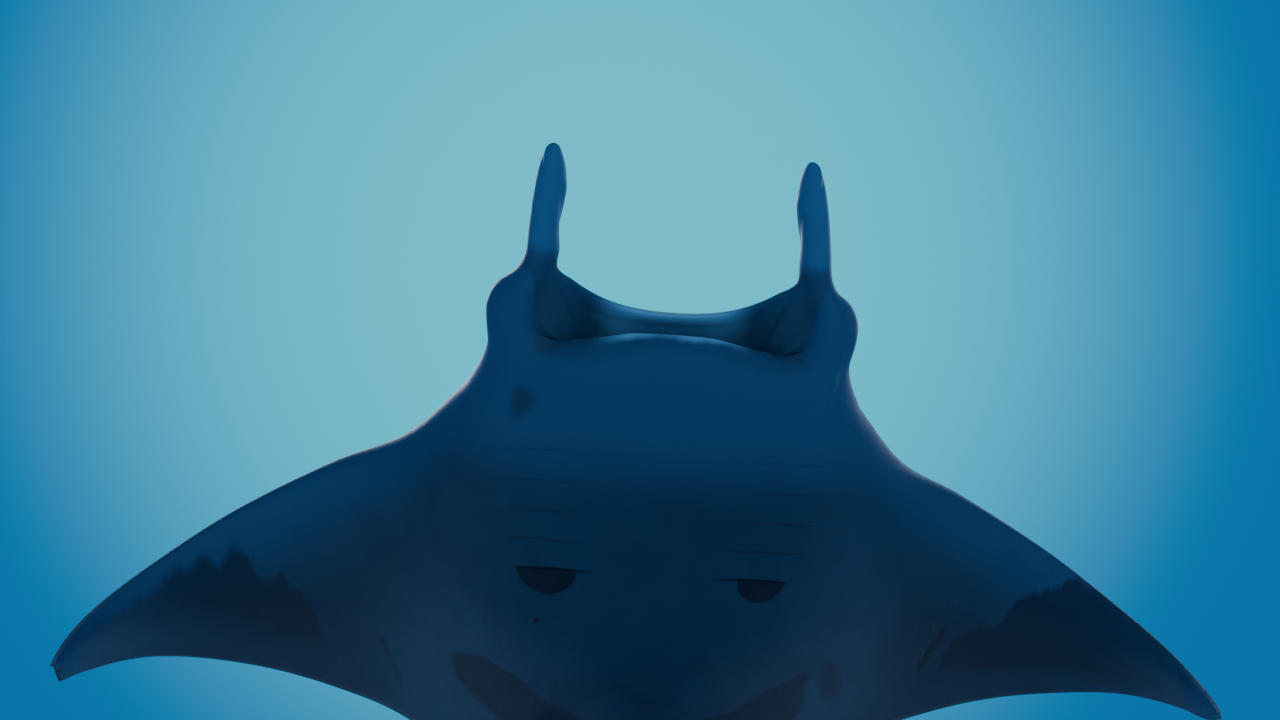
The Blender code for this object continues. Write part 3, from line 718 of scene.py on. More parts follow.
def unite(base: bpy.types.Object, others: Sequence[bpy.types.Object], name: str,
          merge: float = 0.0004, least: float = 0.0002) -> bpy.types.Object:
    """Union of closed surfaces as one new closed mesh; the first ones are removed.

    Vertices within the distance merge become one, and faces thinner than least go.
    """
    for other in others:
        mod = base.modifiers.new(other.name, "BOOLEAN")
        mod.operation, mod.solver, mod.object = "UNION", "MANIFOLD", other
    bpy.context.view_layer.update()
    graph = bpy.context.evaluated_depsgraph_get()
    mesh = bpy.data.meshes.new_from_object(base.evaluated_get(graph))
    for obj in [base, *others]:
        bpy.data.objects.remove(obj)
    with editing(mesh) as bm:
        bmesh.ops.remove_doubles(bm, verts=bm.verts, dist=merge)
        bmesh.ops.dissolve_degenerate(bm, edges=bm.edges, dist=least)
        bmesh.ops.holes_fill(bm, edges=[e for e in bm.edges if e.is_boundary], sides=0)
        bmesh.ops.triangulate(bm, faces=[f for f in bm.faces if len(f.verts) > 4])
        bmesh.ops.recalc_face_normals(bm, faces=bm.faces)
    return linked(name, mesh)


def creases(mesh: bpy.types.Mesh, limit: float) -> Array:
    """Numbers of the vertices on edges where the surface turns by more than limit."""
    bm = bmesh.new()
    bm.from_mesh(mesh)
    angles = np.array([e.calc_face_angle(0.0) for e in bm.edges])
    bm.free()
    return np.unique(edges_of(mesh)[angles > limit])


def relax(points: Array, edges: Array, weight: Array, rounds: int) -> Array:
    """Moves points part of the way to the mean of their neighbours, over and over.

    Args:
        points: positions or values, (count, n).
        edges: vertex pairs.
        weight: share of the way, for each vertex.
        rounds: how many times.

    Returns:
        The moved points.
    """
    count = len(points)
    first = np.concatenate([edges[:, 0], edges[:, 1]])
    second = np.concatenate([edges[:, 1], edges[:, 0]])
    degree = np.maximum(np.bincount(first, minlength=count), 1)
    points = points.copy()
    for _ in range(rounds):
        mean = np.stack([np.bincount(first, axis[second], count) for axis in points.T],
                        -1) / degree[:, None]
        points += weight[:, None] * (mean - points)
    return points


# ------------------------------------------------------------------ relief and pose
@dataclass(frozen=True)
class GillSlits:
    """Five pairs of slits under the breast, each behind a low flap, in wingspans."""

    middle_a: Row = (0.116, 0.138, 0.160, 0.182, 0.2035)
    inner_s: Row = (0.064, 0.060, 0.056, 0.050, 0.044)
    outer_s: Row = (0.111, 0.112, 0.110, 0.106, 0.096)
    lift: Row = (0.0025, 0.0025, 0.003, 0.0035, 0.007)     # metres
    # darkness of the painted shade in each slit's groove
    dark: Row = (0.10, 0.10, 0.12, 0.16, 1.0)
    slope: float = 0.06          # how far aft the outer end lies, per unit of s
    bow: float = 0.0035
    snap: float = 0.0026         # metres within which points are drawn to the edge
    open_at: Pair = (-0.03, 0.16)            # shares of the length over which it opens,
    close_at: Pair = (0.84, 1.03)            # and closes again
    flap: float = 0.035                      # metres over which the flap rises
    groove: Triple = (1.5, 0.002, 0.009)     # depth per lift, place and width behind it
    shade: Pair = (0.0045, 0.0045)           # place and width of the painted shade in it

    def line(self, k: int, s: Array) -> Array:
        """How far aft slit k lies at s: a slanted line with a shallow arch."""
        low, high = self.inner_s[k], self.outer_s[k]
        p = (s - low) / (high - low)
        return self.middle_a[k] + self.slope * (s - (low + high) / 2) - self.bow * (
            0.5 - 2 * (p - 0.5) ** 2)

    def carve(self, flat: Array, below: Array) -> tuple[Array, Array, Array]:
        """Draws points to the slits' edges and gives the relief there.

        The flap rises exponentially towards the slit, and the skin behind the slit
        starts in a groove that closes as a narrow Gaussian.

        Args:
            flat: points (x, a, h) in wingspans.
            below: 1 on the belly, 0 on the back.

        Returns:
            The points with a drawn to the edges, heights in metres, and a value that is 1 in
            the grooves, the mask of their painted shade.
        """
        flat = flat.copy()
        s = np.abs(flat[:, 0])
        height, groove = np.zeros(len(flat)), np.zeros(len(flat))
        for k, (low, high) in enumerate(zip(self.inner_s, self.outer_s)):
            p = (s - low) / (high - low)
            window = ease(p, *self.open_at) * (1 - ease(p, *self.close_at)) * below
            aft = (flat[:, 1] - self.line(k, s)) * SPAN
            near = (np.abs(aft) < self.snap) & (window > 0)
            flat[near, 1] -= aft[near] / SPAN
            aft[near] = 0
            lift, (deep, place, width) = self.lift[k], self.groove
            height += window * np.where(aft <= 0, lift * np.exp(aft / self.flap),
                                        -deep * lift * bell(aft, place, width))
            groove = np.maximum(groove, self.dark[k] * window * bell(aft, *self.shade))
        return flat, height, groove


@dataclass(frozen=True)
class Pose:
    """Bends the flat skin into the swimming pose and sets it in the world."""

    right: Triple = (-0.39, 2.15, 1.65)   # angle at the root, droop to the tip, power
    left: Triple = (-0.45, 2.29, 1.80)
    root_s: Pair = (0.07, 0.19)           # over which the wing rises from the body
    droop_s: Pair = (0.10, 0.50)          # over which it droops
    tail_from: float = 0.446
    tail_level: Pair = (0.02, 0.72)       # shares of the tail over which it levels out
    tail_sag: float = 0.03                # radians
    tail_past: float = 1.02               # lengths summed, a little past the tip
    tail: Whip = Whip()

    def wing(self, side: Side, s: Array) -> tuple[Array, Array, Array]:
        """Sideways place, height and slope of a wing's middle surface at station s.

        The slope is a smooth step at the root plus a power of the way to the tip;
        its cosine and sine are summed along the wing.
        """
        root, droop, power = self.left if side is Side.LEFT else self.right
        flat = np.linspace(0, 0.5, FINE_STEPS)
        start, end = self.droop_s
        share = np.clip((flat - start) / (end - start), 0, 1)
        angle = root * ease(flat, *self.root_s) + droop * share ** power
        step = flat[1] - flat[0]
        x, z = (running_sum(way(angle[:-1])) * step for way in (np.cos, lambda r: -np.sin(r)))
        return np.interp(s, flat, x), np.interp(s, flat, z), np.interp(s, flat, angle)

    def body(self, flat: Array) -> Array:
        """Body points (x, a, h) of flat points (x, a, h), all in wingspans."""
        out = flat.copy()
        for side in Side:
            half = flat[:, 0] * side.value >= 0
            x, z, angle = self.wing(side, np.abs(flat[half, 0]))
            h = flat[half, 2]
            out[half, 0] = side.value * (x + np.sin(angle) * h)
            out[half, 2] = z + np.cos(angle) * h
        behind = out[:, 1] > self.tail_from
        out[behind] = self.whip(out[behind])
        return out

    def whip(self, points: Array) -> Array:
        """Bends the tail up from the slope of the body to nearly level.

        Its slope eases from the body's to level as a smooth step of the way along;
        the cosine and sine of the slope are summed from the root.
        """
        length = self.tail.length / SPAN
        way = np.linspace(self.tail_from - self.tail.start_a, length * self.tail_past,
                          FINE_STEPS)
        rise = PITCH * ease(way / length, *self.tail_level) - self.tail_sag
        step = way[1] - way[0]
        a = self.tail_from + running_sum(np.cos(rise[:-1])) * step
        h = running_sum(np.sin(rise[:-1])) * step
        at = points[:, 1] - self.tail.start_a
        middle_a, middle_h, turn = (np.interp(at, way, row) for row in (a, h, rise))
        return np.stack([points[:, 0], middle_a - np.sin(turn) * points[:, 2],
                         middle_h + np.cos(turn) * points[:, 2]], -1)

    def world(self, body: Array) -> Array:
        """World points, in metres, of body points in wingspans."""
        aft = np.array([0, math.cos(PITCH), -math.sin(PITCH)])
        up = np.array([0, math.sin(PITCH), math.cos(PITCH)])
        return np.array(ORIGIN) + SPAN * (body[..., :1] * [1, 0, 0] + body[..., 1:2] * aft
                                          + body[..., 2:] * up)


@dataclass(frozen=True)
class EyeSocket:
    """Opening and lids round one eye, in body points."""

    side: Side
    middle: Triple = (0.1235, 0.027, -0.0008)    # wingspans
    radius: float = 0.031                        # metres
    half_open: Pair = (0.80, 0.47)               # radians, along and across
    sight: Pair = (-0.22, -0.12)                 # aft and up, for each unit outward
    tilt: float = 0.05                           # of the opening
    around: float = 3.2                          # radii within which the skin is shaped
    lid: float = 1.045                           # radii from the middle, at the least
    folds: tuple[Triple, ...] = (                # height in radii; place and width in
        (0.11, 1.30, 0.24), (0.06, 2.05, 0.26))  # half openings
    cover: float = 1.035                         # radii, as far as the lids reach
    sunk: float = 0.72                           # radii, inside the opening
    edge: Pair = (0.72, 1.08)                    # half openings over which skin comes up,
    join: Pair = (2.1, 3.4)                      # over which it joins the head,
    dark: Pair = (1.2, 3.0)                      # and over which its dark paint ends

    @property
    def centre(self) -> Array:
        """Middle of the eyeball in body points, wingspans."""
        return np.array([self.side.value * self.middle[0], *self.middle[1:]])

    @property
    def axes(self) -> Array:
        """Rows: outward, aft along the opening, and up across it."""
        out = Vector((self.side.value, *self.sight)).normalized()
        across = Vector((0, self.tilt, 1.0))
        along = (Vector((0, 1, 0)) - out * out.y).normalized()
        up = (across - out * across.dot(out) - along * across.dot(along)).normalized()
        return np.array([out, along, up])

    def shape(self, body: Array) -> tuple[Array, Array]:
        """Opens the skin over the eyeball and raises two folded lids round it.

        Seen from the middle of the eye, skin within an oval opening sinks smoothly
        into the ball; from its edge outwards the skin lies over the ball, with a
        rounded lid and one fainter fold, and joins the head.

        Args:
            body: body points in wingspans.

        Returns:
            The moved points and a value that is 1 next to the opening.
        """
        off = (body - self.centre) * SPAN
        far = np.linalg.norm(off, axis=1)
        near = far < self.around * self.radius
        out, along, up = (off[near] @ axis for axis in self.axes)
        ahead, beyond = np.maximum(out, 1e-4), 9.0
        reach = np.hypot(np.arctan2(along, ahead) / self.half_open[0],
                         np.arctan2(up, ahead) / self.half_open[1])
        reach = np.where(out <= 0, beyond, reach)
        dist, sunk = far[near], self.sunk * self.radius
        lid = self.radius * sum((height * bell(reach, at, wide)
                                 for height, at, wide in self.folds), self.lid)
        over = dist + (np.maximum(dist, lid) - dist) * (1 - ease(reach, *self.join))
        over = np.maximum(over, self.cover * self.radius)
        goal = sunk + (over - sunk) * ease(reach, *self.edge)
        moved = body.copy()
        moved[near] = self.centre + off[near] / dist[:, None] * goal[:, None] / SPAN
        close = np.zeros(len(body))
        close[near] = (1 - ease(reach, *self.dark)) * (out > 0)
        return moved, close


# ------------------------------------------------------------------ the skin
@dataclass(frozen=True)
class Dent:
    """Oval dent or rise on both sides of the flat skin, in wingspans."""

    s: float
    a: float
    wide: float
    long: float
    height: float                # metres
    slant: float = 0.0           # how far aft its outer end lies, per unit of s

    def at(self, s: Array, a: Array) -> Array:
        """Height in metres: a Gaussian across and one along."""
        return (self.height * bell(s, self.s, self.wide)
                * bell(a - self.slant * (s - self.s), self.a, self.long))


@dataclass
class Skin:
    """One closed surface over all the flesh, with its relief, pose and values."""

    disc: Disc = field(default_factory=Disc)
    gills: GillSlits = field(default_factory=GillSlits)
    pose: Pose = field(default_factory=Pose)
    crease: float = 0.5                   # radians, of the edges that are smoothed
    fillet: Pair = (0.030, 0.012)         # metres smoothed beside a joint, and a lip
    rounds: tuple[int, int, int] = (40, 8, 40)      # of smoothing: joints, lips, crown
    lips: Pair = (0.075, 0.11)            # they lie ahead of this a, inside this s
    fin_root: Triple = (-0.008, 0.018, 0.075)       # a, give or take, outside this s
    tail_root: Pair = (0.385, 0.06)       # behind this a, inside this s
    crown: tuple[Pair, ...] = (           # ranges of h, of s, and of a at both ends
        (0.002, 0.009), (0.02, 0.04), (-0.020, -0.005), (0.05, 0.08))
    breast: tuple[Pair, Pair] = ((0.038, 0.118), (0.100, 0.214))    # ranges of s and a
    eye: tuple[float, ...] = (0.027, -0.001, 0.017, 0.110)    # a, h, radius, least s
    finer: tuple[int, int] = (3, 4)       # cuts of the edges there
    upward: Pair = (-0.25, 0.25)          # part of the normal from belly to back
    fin_h: Pair = (0.018, 0.024)          # height from which the back fin is all back
    fin_box: Pair = (0.008, 0.38)         # inside this s, behind this a
    pull: float = 0.6                     # share of the way moved right on a crease
    level: float = 0.3                    # least upward part of the back's normal
    wave_h: float = 0.0012                # metres
    wave_a: tuple[Pair, Pair] = ((0.03, 0.10), (0.36, 0.42))    # they begin and end
    long_waves: tuple[int, ...] = (21, 9, 17, 2)    # per x, a and a, and an offset
    short_waves: Triple = (47, -31, 1)              # per s and a, and an offset
    short_share: float = 0.6
    furrow: Pair = (-0.006, 0.012)        # depth in metres, and width
    furrow_a: tuple[Pair, Pair] = ((0.06, 0.10), (0.20, 0.30))
    dents: tuple[Dent, ...] = (Dent(0, 0.418, 0.0022, 0.010, -0.010),       # the vent
                               Dent(0.005, 0.418, 0.003, 0.012, 0.004))
    spiracle: Dent = Dent(0.112, 0.062, 0.005, 0.0016, -0.010, 0.35)
    nostril: Dent = Dent(0.074, 0.010, 0.0045, 0.0022, -0.007)
    nodes: tuple[str, ...] = (
        "head", "trunk", "pectoral_fin_left", "pectoral_fin_right", "cephalic_fin_left",
        "cephalic_fin_right", "pelvic_fin_left", "pelvic_fin_right", "dorsal_fin", "tail")

    def build(self, finish: "SkinFinish") -> bpy.types.Object:
        """Makes the skin, dresses it, sets it under the body's root and hides the nodes that it
        replaces.
        """
        obj = self.flat_surface()
        mesh = obj.data
        points, edges = points_of(mesh), edges_of(mesh)
        points = self.soften(points, mesh, edges)
        put_points(mesh, points)
        normal = normals_of(mesh)
        mouth = np.clip(value_of(mesh, "mouth"), 0, 1)
        below = (normal[:, 2] < 0) * (1 - mouth)
        flat, lift, groove = self.gills.carve(points / SPAN, below)
        lift = lift + self.unevenness(flat, normal, mouth)
        put_value(mesh, "flat", flat)
        # mask of the painted shade in the gill grooves
        put_value(mesh, "groove", groove)
        fin = (ease(flat[:, 2], *self.fin_h) * (np.abs(flat[:, 0]) < self.fin_box[0])
               * (flat[:, 1] > self.fin_box[1]))
        put_value(mesh, "back", np.maximum(ease(normal[:, 2], *self.upward), fin))
        posed = self.pose.body(flat + normal * lift[:, None] / SPAN)
        lids = np.zeros(len(posed))
        for side in Side:
            posed, close = EyeSocket(side).shape(posed)
            lids = np.maximum(lids, close)
        put_value(mesh, "lids", lids)
        put_points(mesh, self.pose.world(posed))
        mesh.shade_smooth()
        mesh.materials.clear()
        mesh.materials.append(finish.material())
        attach(obj, "root")
        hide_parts(*self.nodes)
        return obj

    def flat_surface(self) -> bpy.types.Object:
        """Disc, head fins, small fins and tail as one surface, laid flat, in metres."""
        outside, inside = self.disc.patches()
        disc = weld("disc", outside, SPAN, inside)
        self.refine_places(disc.data)
        parts = [kind(side) for side in Side for kind in (HeadFin, HipFin)]
        others = [weld(type(part).__name__, part.patches(), SPAN)
                  for part in (*parts, BackFin(), Whip())]
        return unite(disc, others, "skin")

    def refine_places(self, mesh: bpy.types.Mesh) -> None:
        """Makes the mesh finer under the breast and round the eyes."""
        p = points_of(mesh) / SPAN
        s = np.abs(p[:, 0])
        (inner, outer), (front, rear) = self.breast
        breast = (s > inner) & (s < outer) & (p[:, 1] > front) & (p[:, 1] < rear)
        refine(mesh, breast & (p[:, 2] < 0), self.finer[0])
        p = points_of(mesh) / SPAN
        a, h, radius, inner = self.eye
        eye = np.hypot(p[:, 1] - a, p[:, 2] - h) < radius
        refine(mesh, eye & (np.abs(p[:, 0]) > inner), self.finer[1])

    def soften(self, points: Array, mesh: bpy.types.Mesh, edges: Array) -> Array:
        """Rounds the joints of the fins and tail with the body, and the lips.

        Vertices near a crease move towards their neighbours, with a Gaussian of the
        distance to the crease as their share; so do those on the crown of the head.
        """
        seam = creases(mesh, self.crease)
        flat = points / SPAN
        s, a = np.abs(flat[:, 0]), flat[:, 1]
        root_a, about, root_s = self.fin_root
        lips = (a < self.lips[0]) & (s < self.lips[1])
        joint = (((np.abs(a - root_a) < about) & (s > root_s))
                 | ((a > self.tail_root[0]) & (s < self.tail_root[1])))
        for zone, reach, rounds in zip((joint, lips), self.fillet, self.rounds):
            ids, at = np.nonzero(zone)[0], seam[zone[seam]]
            gap = np.full(len(ids), np.inf)
            for part in np.array_split(np.arange(len(ids)), max(1, len(ids) // BLOCK)):
                away = points[ids[part], None] - points[at][None]
                gap[part] = np.sqrt((away ** 2).sum(-1).min(1))
            weight = np.zeros(len(points))
            weight[ids] = self.pull * bell(gap, 0, reach)
            points = relax(points, edges, weight, rounds)
        high, outward, front, rear = self.crown
        crown = (ease(flat[:, 2], *high) * ease(s, *outward) * ease(a, *front)
                 * (1 - ease(a, *rear)))
        return relax(points, edges, 0.5 * crown, self.rounds[-1])

    def unevenness(self, flat: Array, normal: Array, mouth: Array) -> Array:
        """Small forms of a living body, in metres along the normal.

        Low waves over the disc, a shallow furrow along the breast, the vent, the
        spiracles behind the eyes and the nostrils under the upper lip.
        """
        s, a = np.abs(flat[:, 0]), flat[:, 1]
        (rise, fall), (start, end) = self.wave_a, self.furrow_a
        body = (1 - mouth) * ease(a, *rise) * (1 - ease(a, *fall))
        per_x, per_a, then_a, offset = self.long_waves
        long = np.sin(per_x * flat[:, 0] + per_a * a) * np.sin(then_a * a + offset)
        per_s, per_a, offset = self.short_waves
        short = self.short_share * np.sin(per_s * s + per_a * a + offset)
        waves = (long + short) * self.wave_h
        under, over = normal[:, 2] < -self.level, normal[:, 2] > self.level
        depth, width = self.furrow
        breast = (depth * bell(s, 0, width) * ease(a, *start) * (1 - ease(a, *end))
                  + sum(dent.at(s, a) for dent in self.dents))
        return (body * waves + under * (1 - mouth) * breast + over * self.spiracle.at(s, a)
                + mouth * under * self.nostril.at(s, a))


# ------------------------------------------------------------------ eyes
@dataclass(frozen=True)
class Eye:
    """Eyeball with a slightly raised cornea and a wide, flat pupil."""

    side: Side
    pose: Pose = field(default_factory=Pose)
    size: float = 0.985            # radius, as a share of the socket's,
    cornea: float = 0.030          # rise of the cornea on it,
    cornea_width: float = 0.55     # and its width in radians
    rings: int = 72
    around: int = 96

    def build(self, finish: "EyeFinish") -> bpy.types.Object:
        """Makes the ball in place, its pole on the line of sight.

        The radius is that of the socket with a low Gaussian rise over the pupil.
        """
        socket = EyeSocket(self.side)
        name = "eyeball_" + self.side.name.lower()
        polar, turn = np.linspace(0, np.pi, self.rings + 1)[:, None], once_round(self.around)
        radius = socket.radius * (self.size + self.cornea * bell(polar, 0, self.cornea_width))
        local = tube(radius * np.cos(polar), radius * np.sin(polar) * np.cos(turn),
                     radius * np.sin(polar) * np.sin(turn), ends=False)[0]
        body = socket.centre + local @ socket.axes / SPAN
        obj = weld(name, [self.pose.world(body)])
        mesh = obj.data
        centre = self.pose.world(socket.centre[None])[0]
        frame_rows = self.pose.world(socket.centre + socket.axes / SPAN) - centre
        put_value(mesh, "sight", (points_of(mesh) - centre) @ frame_rows.T / socket.radius)
        mesh.shade_smooth()
        mesh.materials.append(finish.material())
        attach(obj, "root")
        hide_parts("eye_" + self.side.name.lower())
        return obj


# ------------------------------------------------------------------ finishes
Socket = bpy.types.NodeSocket
Value = Union[float, Socket]
Colour = Triple


@dataclass
class Graph:
    """Short names for the shader nodes that the finishes are made of."""

    material: Union[bpy.types.Material, bpy.types.World]

    def __post_init__(self) -> None:
        """Starts from the shader and output that every material or world has."""
        self.material.use_nodes = True
        self.tree = self.material.node_tree
        self.shader = next(n for n in self.tree.nodes if n.outputs)

    def node(self, kind: str, *inputs: Union[Value, Vector, None], **settings: object
             ) -> bpy.types.Node:
        """New node with its settings, and its inputs filled in order."""
        made = self.tree.nodes.new("ShaderNode" + kind)
        for key, value in settings.items():
            setattr(made, key, value)
        for socket, value in zip(made.inputs, inputs):
            if value is not None:
                self.feed(socket, value)
        return made

    def feed(self, socket: Socket, value: object) -> None:
        """Links a socket to another one, or sets its own value."""
        if isinstance(value, bpy.types.NodeSocket):
            self.tree.links.new(value, socket)
        else:
            socket.default_value = value

    def fill(self, node: bpy.types.Node, **inputs: object) -> bpy.types.Node:
        """Fills named inputs of a node, spaces written as underscores."""
        for key, value in inputs.items():
            self.feed(node.inputs[key.replace("_", " ")], value)
        return node

    def math(self, operation: str, a: Value, b: Value = 0.0) -> Socket:
        """One sum, product or other operation on two numbers."""
        return self.node("Math", a, b, operation=operation).outputs[0]

    def vector(self, operation: str, a: Socket, b: Union[Socket, Vector, None] = None
               ) -> Socket:
        """One operation on vectors; a length or a dot product is a number."""
        node = self.node("VectorMath", a, b, operation=operation)
        number = operation in ("LENGTH", "DOT_PRODUCT")
        return node.outputs["Value" if number else "Vector"]

    def parts(self, vector: Socket) -> Sequence[Socket]:
        """The three parts of a vector."""
        return self.node("SeparateXYZ", vector).outputs

    def step(self, x: Value, low: float, high: float) -> Socket:
        """Smooth step from 0 at low to 1 at high."""
        node = self.node("MapRange", interpolation_type="SMOOTHSTEP")
        return self.fill(node, Value=x, From_Min=low, From_Max=high).outputs["Result"]

    def sum(self, a: Value, b: Value) -> Socket:
        """One and the other."""
        return self.math("ADD", a, b)

    def less(self, a: Value, b: Value) -> Socket:
        """The first less the second."""
        return self.math("SUBTRACT", a, b)

    def both(self, a: Value, b: Value) -> Socket:
        """Product: both masks at once."""
        return self.math("MULTIPLY", a, b)

    def either(self, a: Value, b: Value) -> Socket:
        """Greater one: either mask."""
        return self.math("MAXIMUM", a, b)

    def without(self, x: Value) -> Socket:
        """One less x."""
        return self.less(1.0, x)

    def pick(self, share: Socket, one: Value, other: Value) -> Socket:
        """One number where the share is 1, the other where it is 0."""
        return self.sum(self.both(share, one), self.both(self.without(share), other))

    def value(self, name: str, kind: str = "Fac") -> Socket:
        """The number, or the vector, stored at the vertices under a name."""
        return self.node("Attribute", attribute_name=name).outputs[kind]

    def place(self, stretch: Triple = (1, 1, 1), source: Optional[Socket] = None) -> Socket:
        """Object coordinates, or those given, stretched along the axes."""
        source = source or self.node("TexCoord").outputs["Object"]
        return self.node("Mapping", source, None, None, Vector(stretch)).outputs[0]

    def noise(self, place: Socket, scale: float, detail: float = 2.0, rough: float = 0.5,
              kind: str = "Fac") -> Socket:
        """Noise between 0 and 1, or as a colour."""
        node = self.fill(self.node("TexNoise"), Vector=place, Scale=scale, Detail=detail,
                         Roughness=rough)
        return node.outputs[kind]

    def swing(self, source: Socket, size: float) -> Socket:
        """Noise turned into a swing of plus or minus half its size."""
        return self.both(self.less(source, 0.5), size)

    def curve(self, x: Value, points: Sequence[Pair]) -> Socket:
        """Curve through points, straight between them."""
        node = self.fill(self.node("FloatCurve"), Value=x)
        line = node.mapping.curves[0]
        while len(line.points) < len(points):
            line.points.new(0.5, 0.5)
        for point, (at, height) in zip(line.points, points):
            point.location, point.handle_type = (at, height), "VECTOR"
        node.mapping.update()
        return node.outputs[0]

    def mix(self, share: Value, a: Union[Socket, Colour], b: Union[Socket, Colour]) -> Socket:
        """Colour between a and b."""
        node = self.node("Mix", data_type="RGBA")
        self.feed(node.inputs["Factor"], share)
        for socket, value in zip(node.inputs[6:8], (a, b)):
            self.feed(socket, value if isinstance(value, bpy.types.NodeSocket)
                      else (*value, 1.0))
        return node.outputs[2]

    def blot(self, place: Socket, spot: "Blot") -> Socket:
        """Mask of an oval: its stretched and turned distance from the middle."""
        node = self.node("Mapping", place, Vector((spot.x, spot.a, 0)),
                         Vector((0, 0, spot.turned)), Vector((spot.half_x, spot.half_a, 1)),
                         vector_type="TEXTURE")
        level = self.vector("MULTIPLY", node.outputs[0], Vector((1, 1, 0)))
        edge = self.step(self.vector("LENGTH", level), 1 - spot.soft, 1 + spot.soft)
        return self.both(self.without(edge), spot.dark)

    def speckle(self, marks: "Speckle") -> Socket:
        """Mask of scattered marks."""
        fine = self.noise(self.place(marks.stretch), marks.scale)
        broad = self.noise(self.place(), marks.broad_scale)
        spread = self.both(self.step(fine, *marks.fine), self.step(broad, *marks.broad))
        return self.both(spread, marks.strength)

    def bump(self, height: Socket, depth: float, strength: float = 1.0,
             below: Optional[Socket] = None) -> Socket:
        """Normal of a bump of a depth in metres, over another one."""
        node = self.fill(self.node("Bump"), Strength=strength, Distance=depth, Height=height)
        return (self.fill(node, Normal=below) if below else node).outputs[0]

    def finish(self, **inputs: object) -> bpy.types.Material:
        """Fills the shader's named inputs."""
        self.fill(self.shader, **inputs)
        return self.material


@dataclass(frozen=True)
class Blot:
    """Oval marking on the belly, laid flat, in wingspans."""

    x: float
    a: float
    half_x: float
    half_a: float
    turned: float = 0.0
    dark: float = 1.0
    soft: float = 0.25


@dataclass(frozen=True)
class Speckle:
    """Scattered marks: the peaks of a fine noise where a broad one is high as well."""

    scale: float
    fine: Pair                       # noise at which a mark begins, and is full
    broad_scale: float
    broad: Pair
    strength: float = 0.35
    stretch: Triple = (1, 1, 1)


@dataclass(frozen=True)
class Patch:
    """Marking between two lines a(s), each given as stations (s, a), in wingspans."""

    front: tuple[Pair, ...]
    rear: tuple[Pair, ...]
    inner: Pair                # s over which it starts
    outer: Pair                # s over which it ends
    soft: float = 0.004
    rear_soft: float = 0.004


@dataclass
class Lay:
    """Place of a point on the flat skin, and the noises that the masks share."""

    g: Graph
    wander: Pair = (5.0, 0.014)      # scale and size of the waves in the markings' edges
    fibres: Triple = (90, 7, 1)      # stretch of the noise that tears them
    seam: float = 0.01               # half width of the change from right to left
    clouds: Triple = (2.3, 4.0, 0.6)        # scale, detail and roughness of the noises
    mottling: Triple = (14, 4.0, 0.65)

    def __post_init__(self) -> None:
        """Makes the shared sockets."""
        g, (scale, size) = self.g, self.wander
        self.here, self.flat = g.place(), g.value("flat", "Vector")
        waves = g.vector("SUBTRACT", g.noise(self.here, scale, 3.0, kind="Color"),
                         Vector((0.5, 0.5, 0.5)))
        waves = g.vector("MULTIPLY", waves, Vector((size, size, 0.0)))
        self.loose = g.vector("ADD", self.flat, waves)
        self.x, self.a = g.parts(self.loose)[:2]
        self.s = g.math("ABSOLUTE", self.x)
        self.left = g.step(self.x, -self.seam, self.seam)
        self.fibre = g.noise(g.place(self.fibres, self.flat), 1.0, 3.0)
        self.cloud = g.noise(self.here, *self.clouds)
        self.mottle = g.noise(self.here, *self.mottling)

    def torn(self, size: float) -> Socket:
        """The place a, swinging with the fibres."""
        return self.g.sum(self.a, self.g.swing(self.fibre, size))


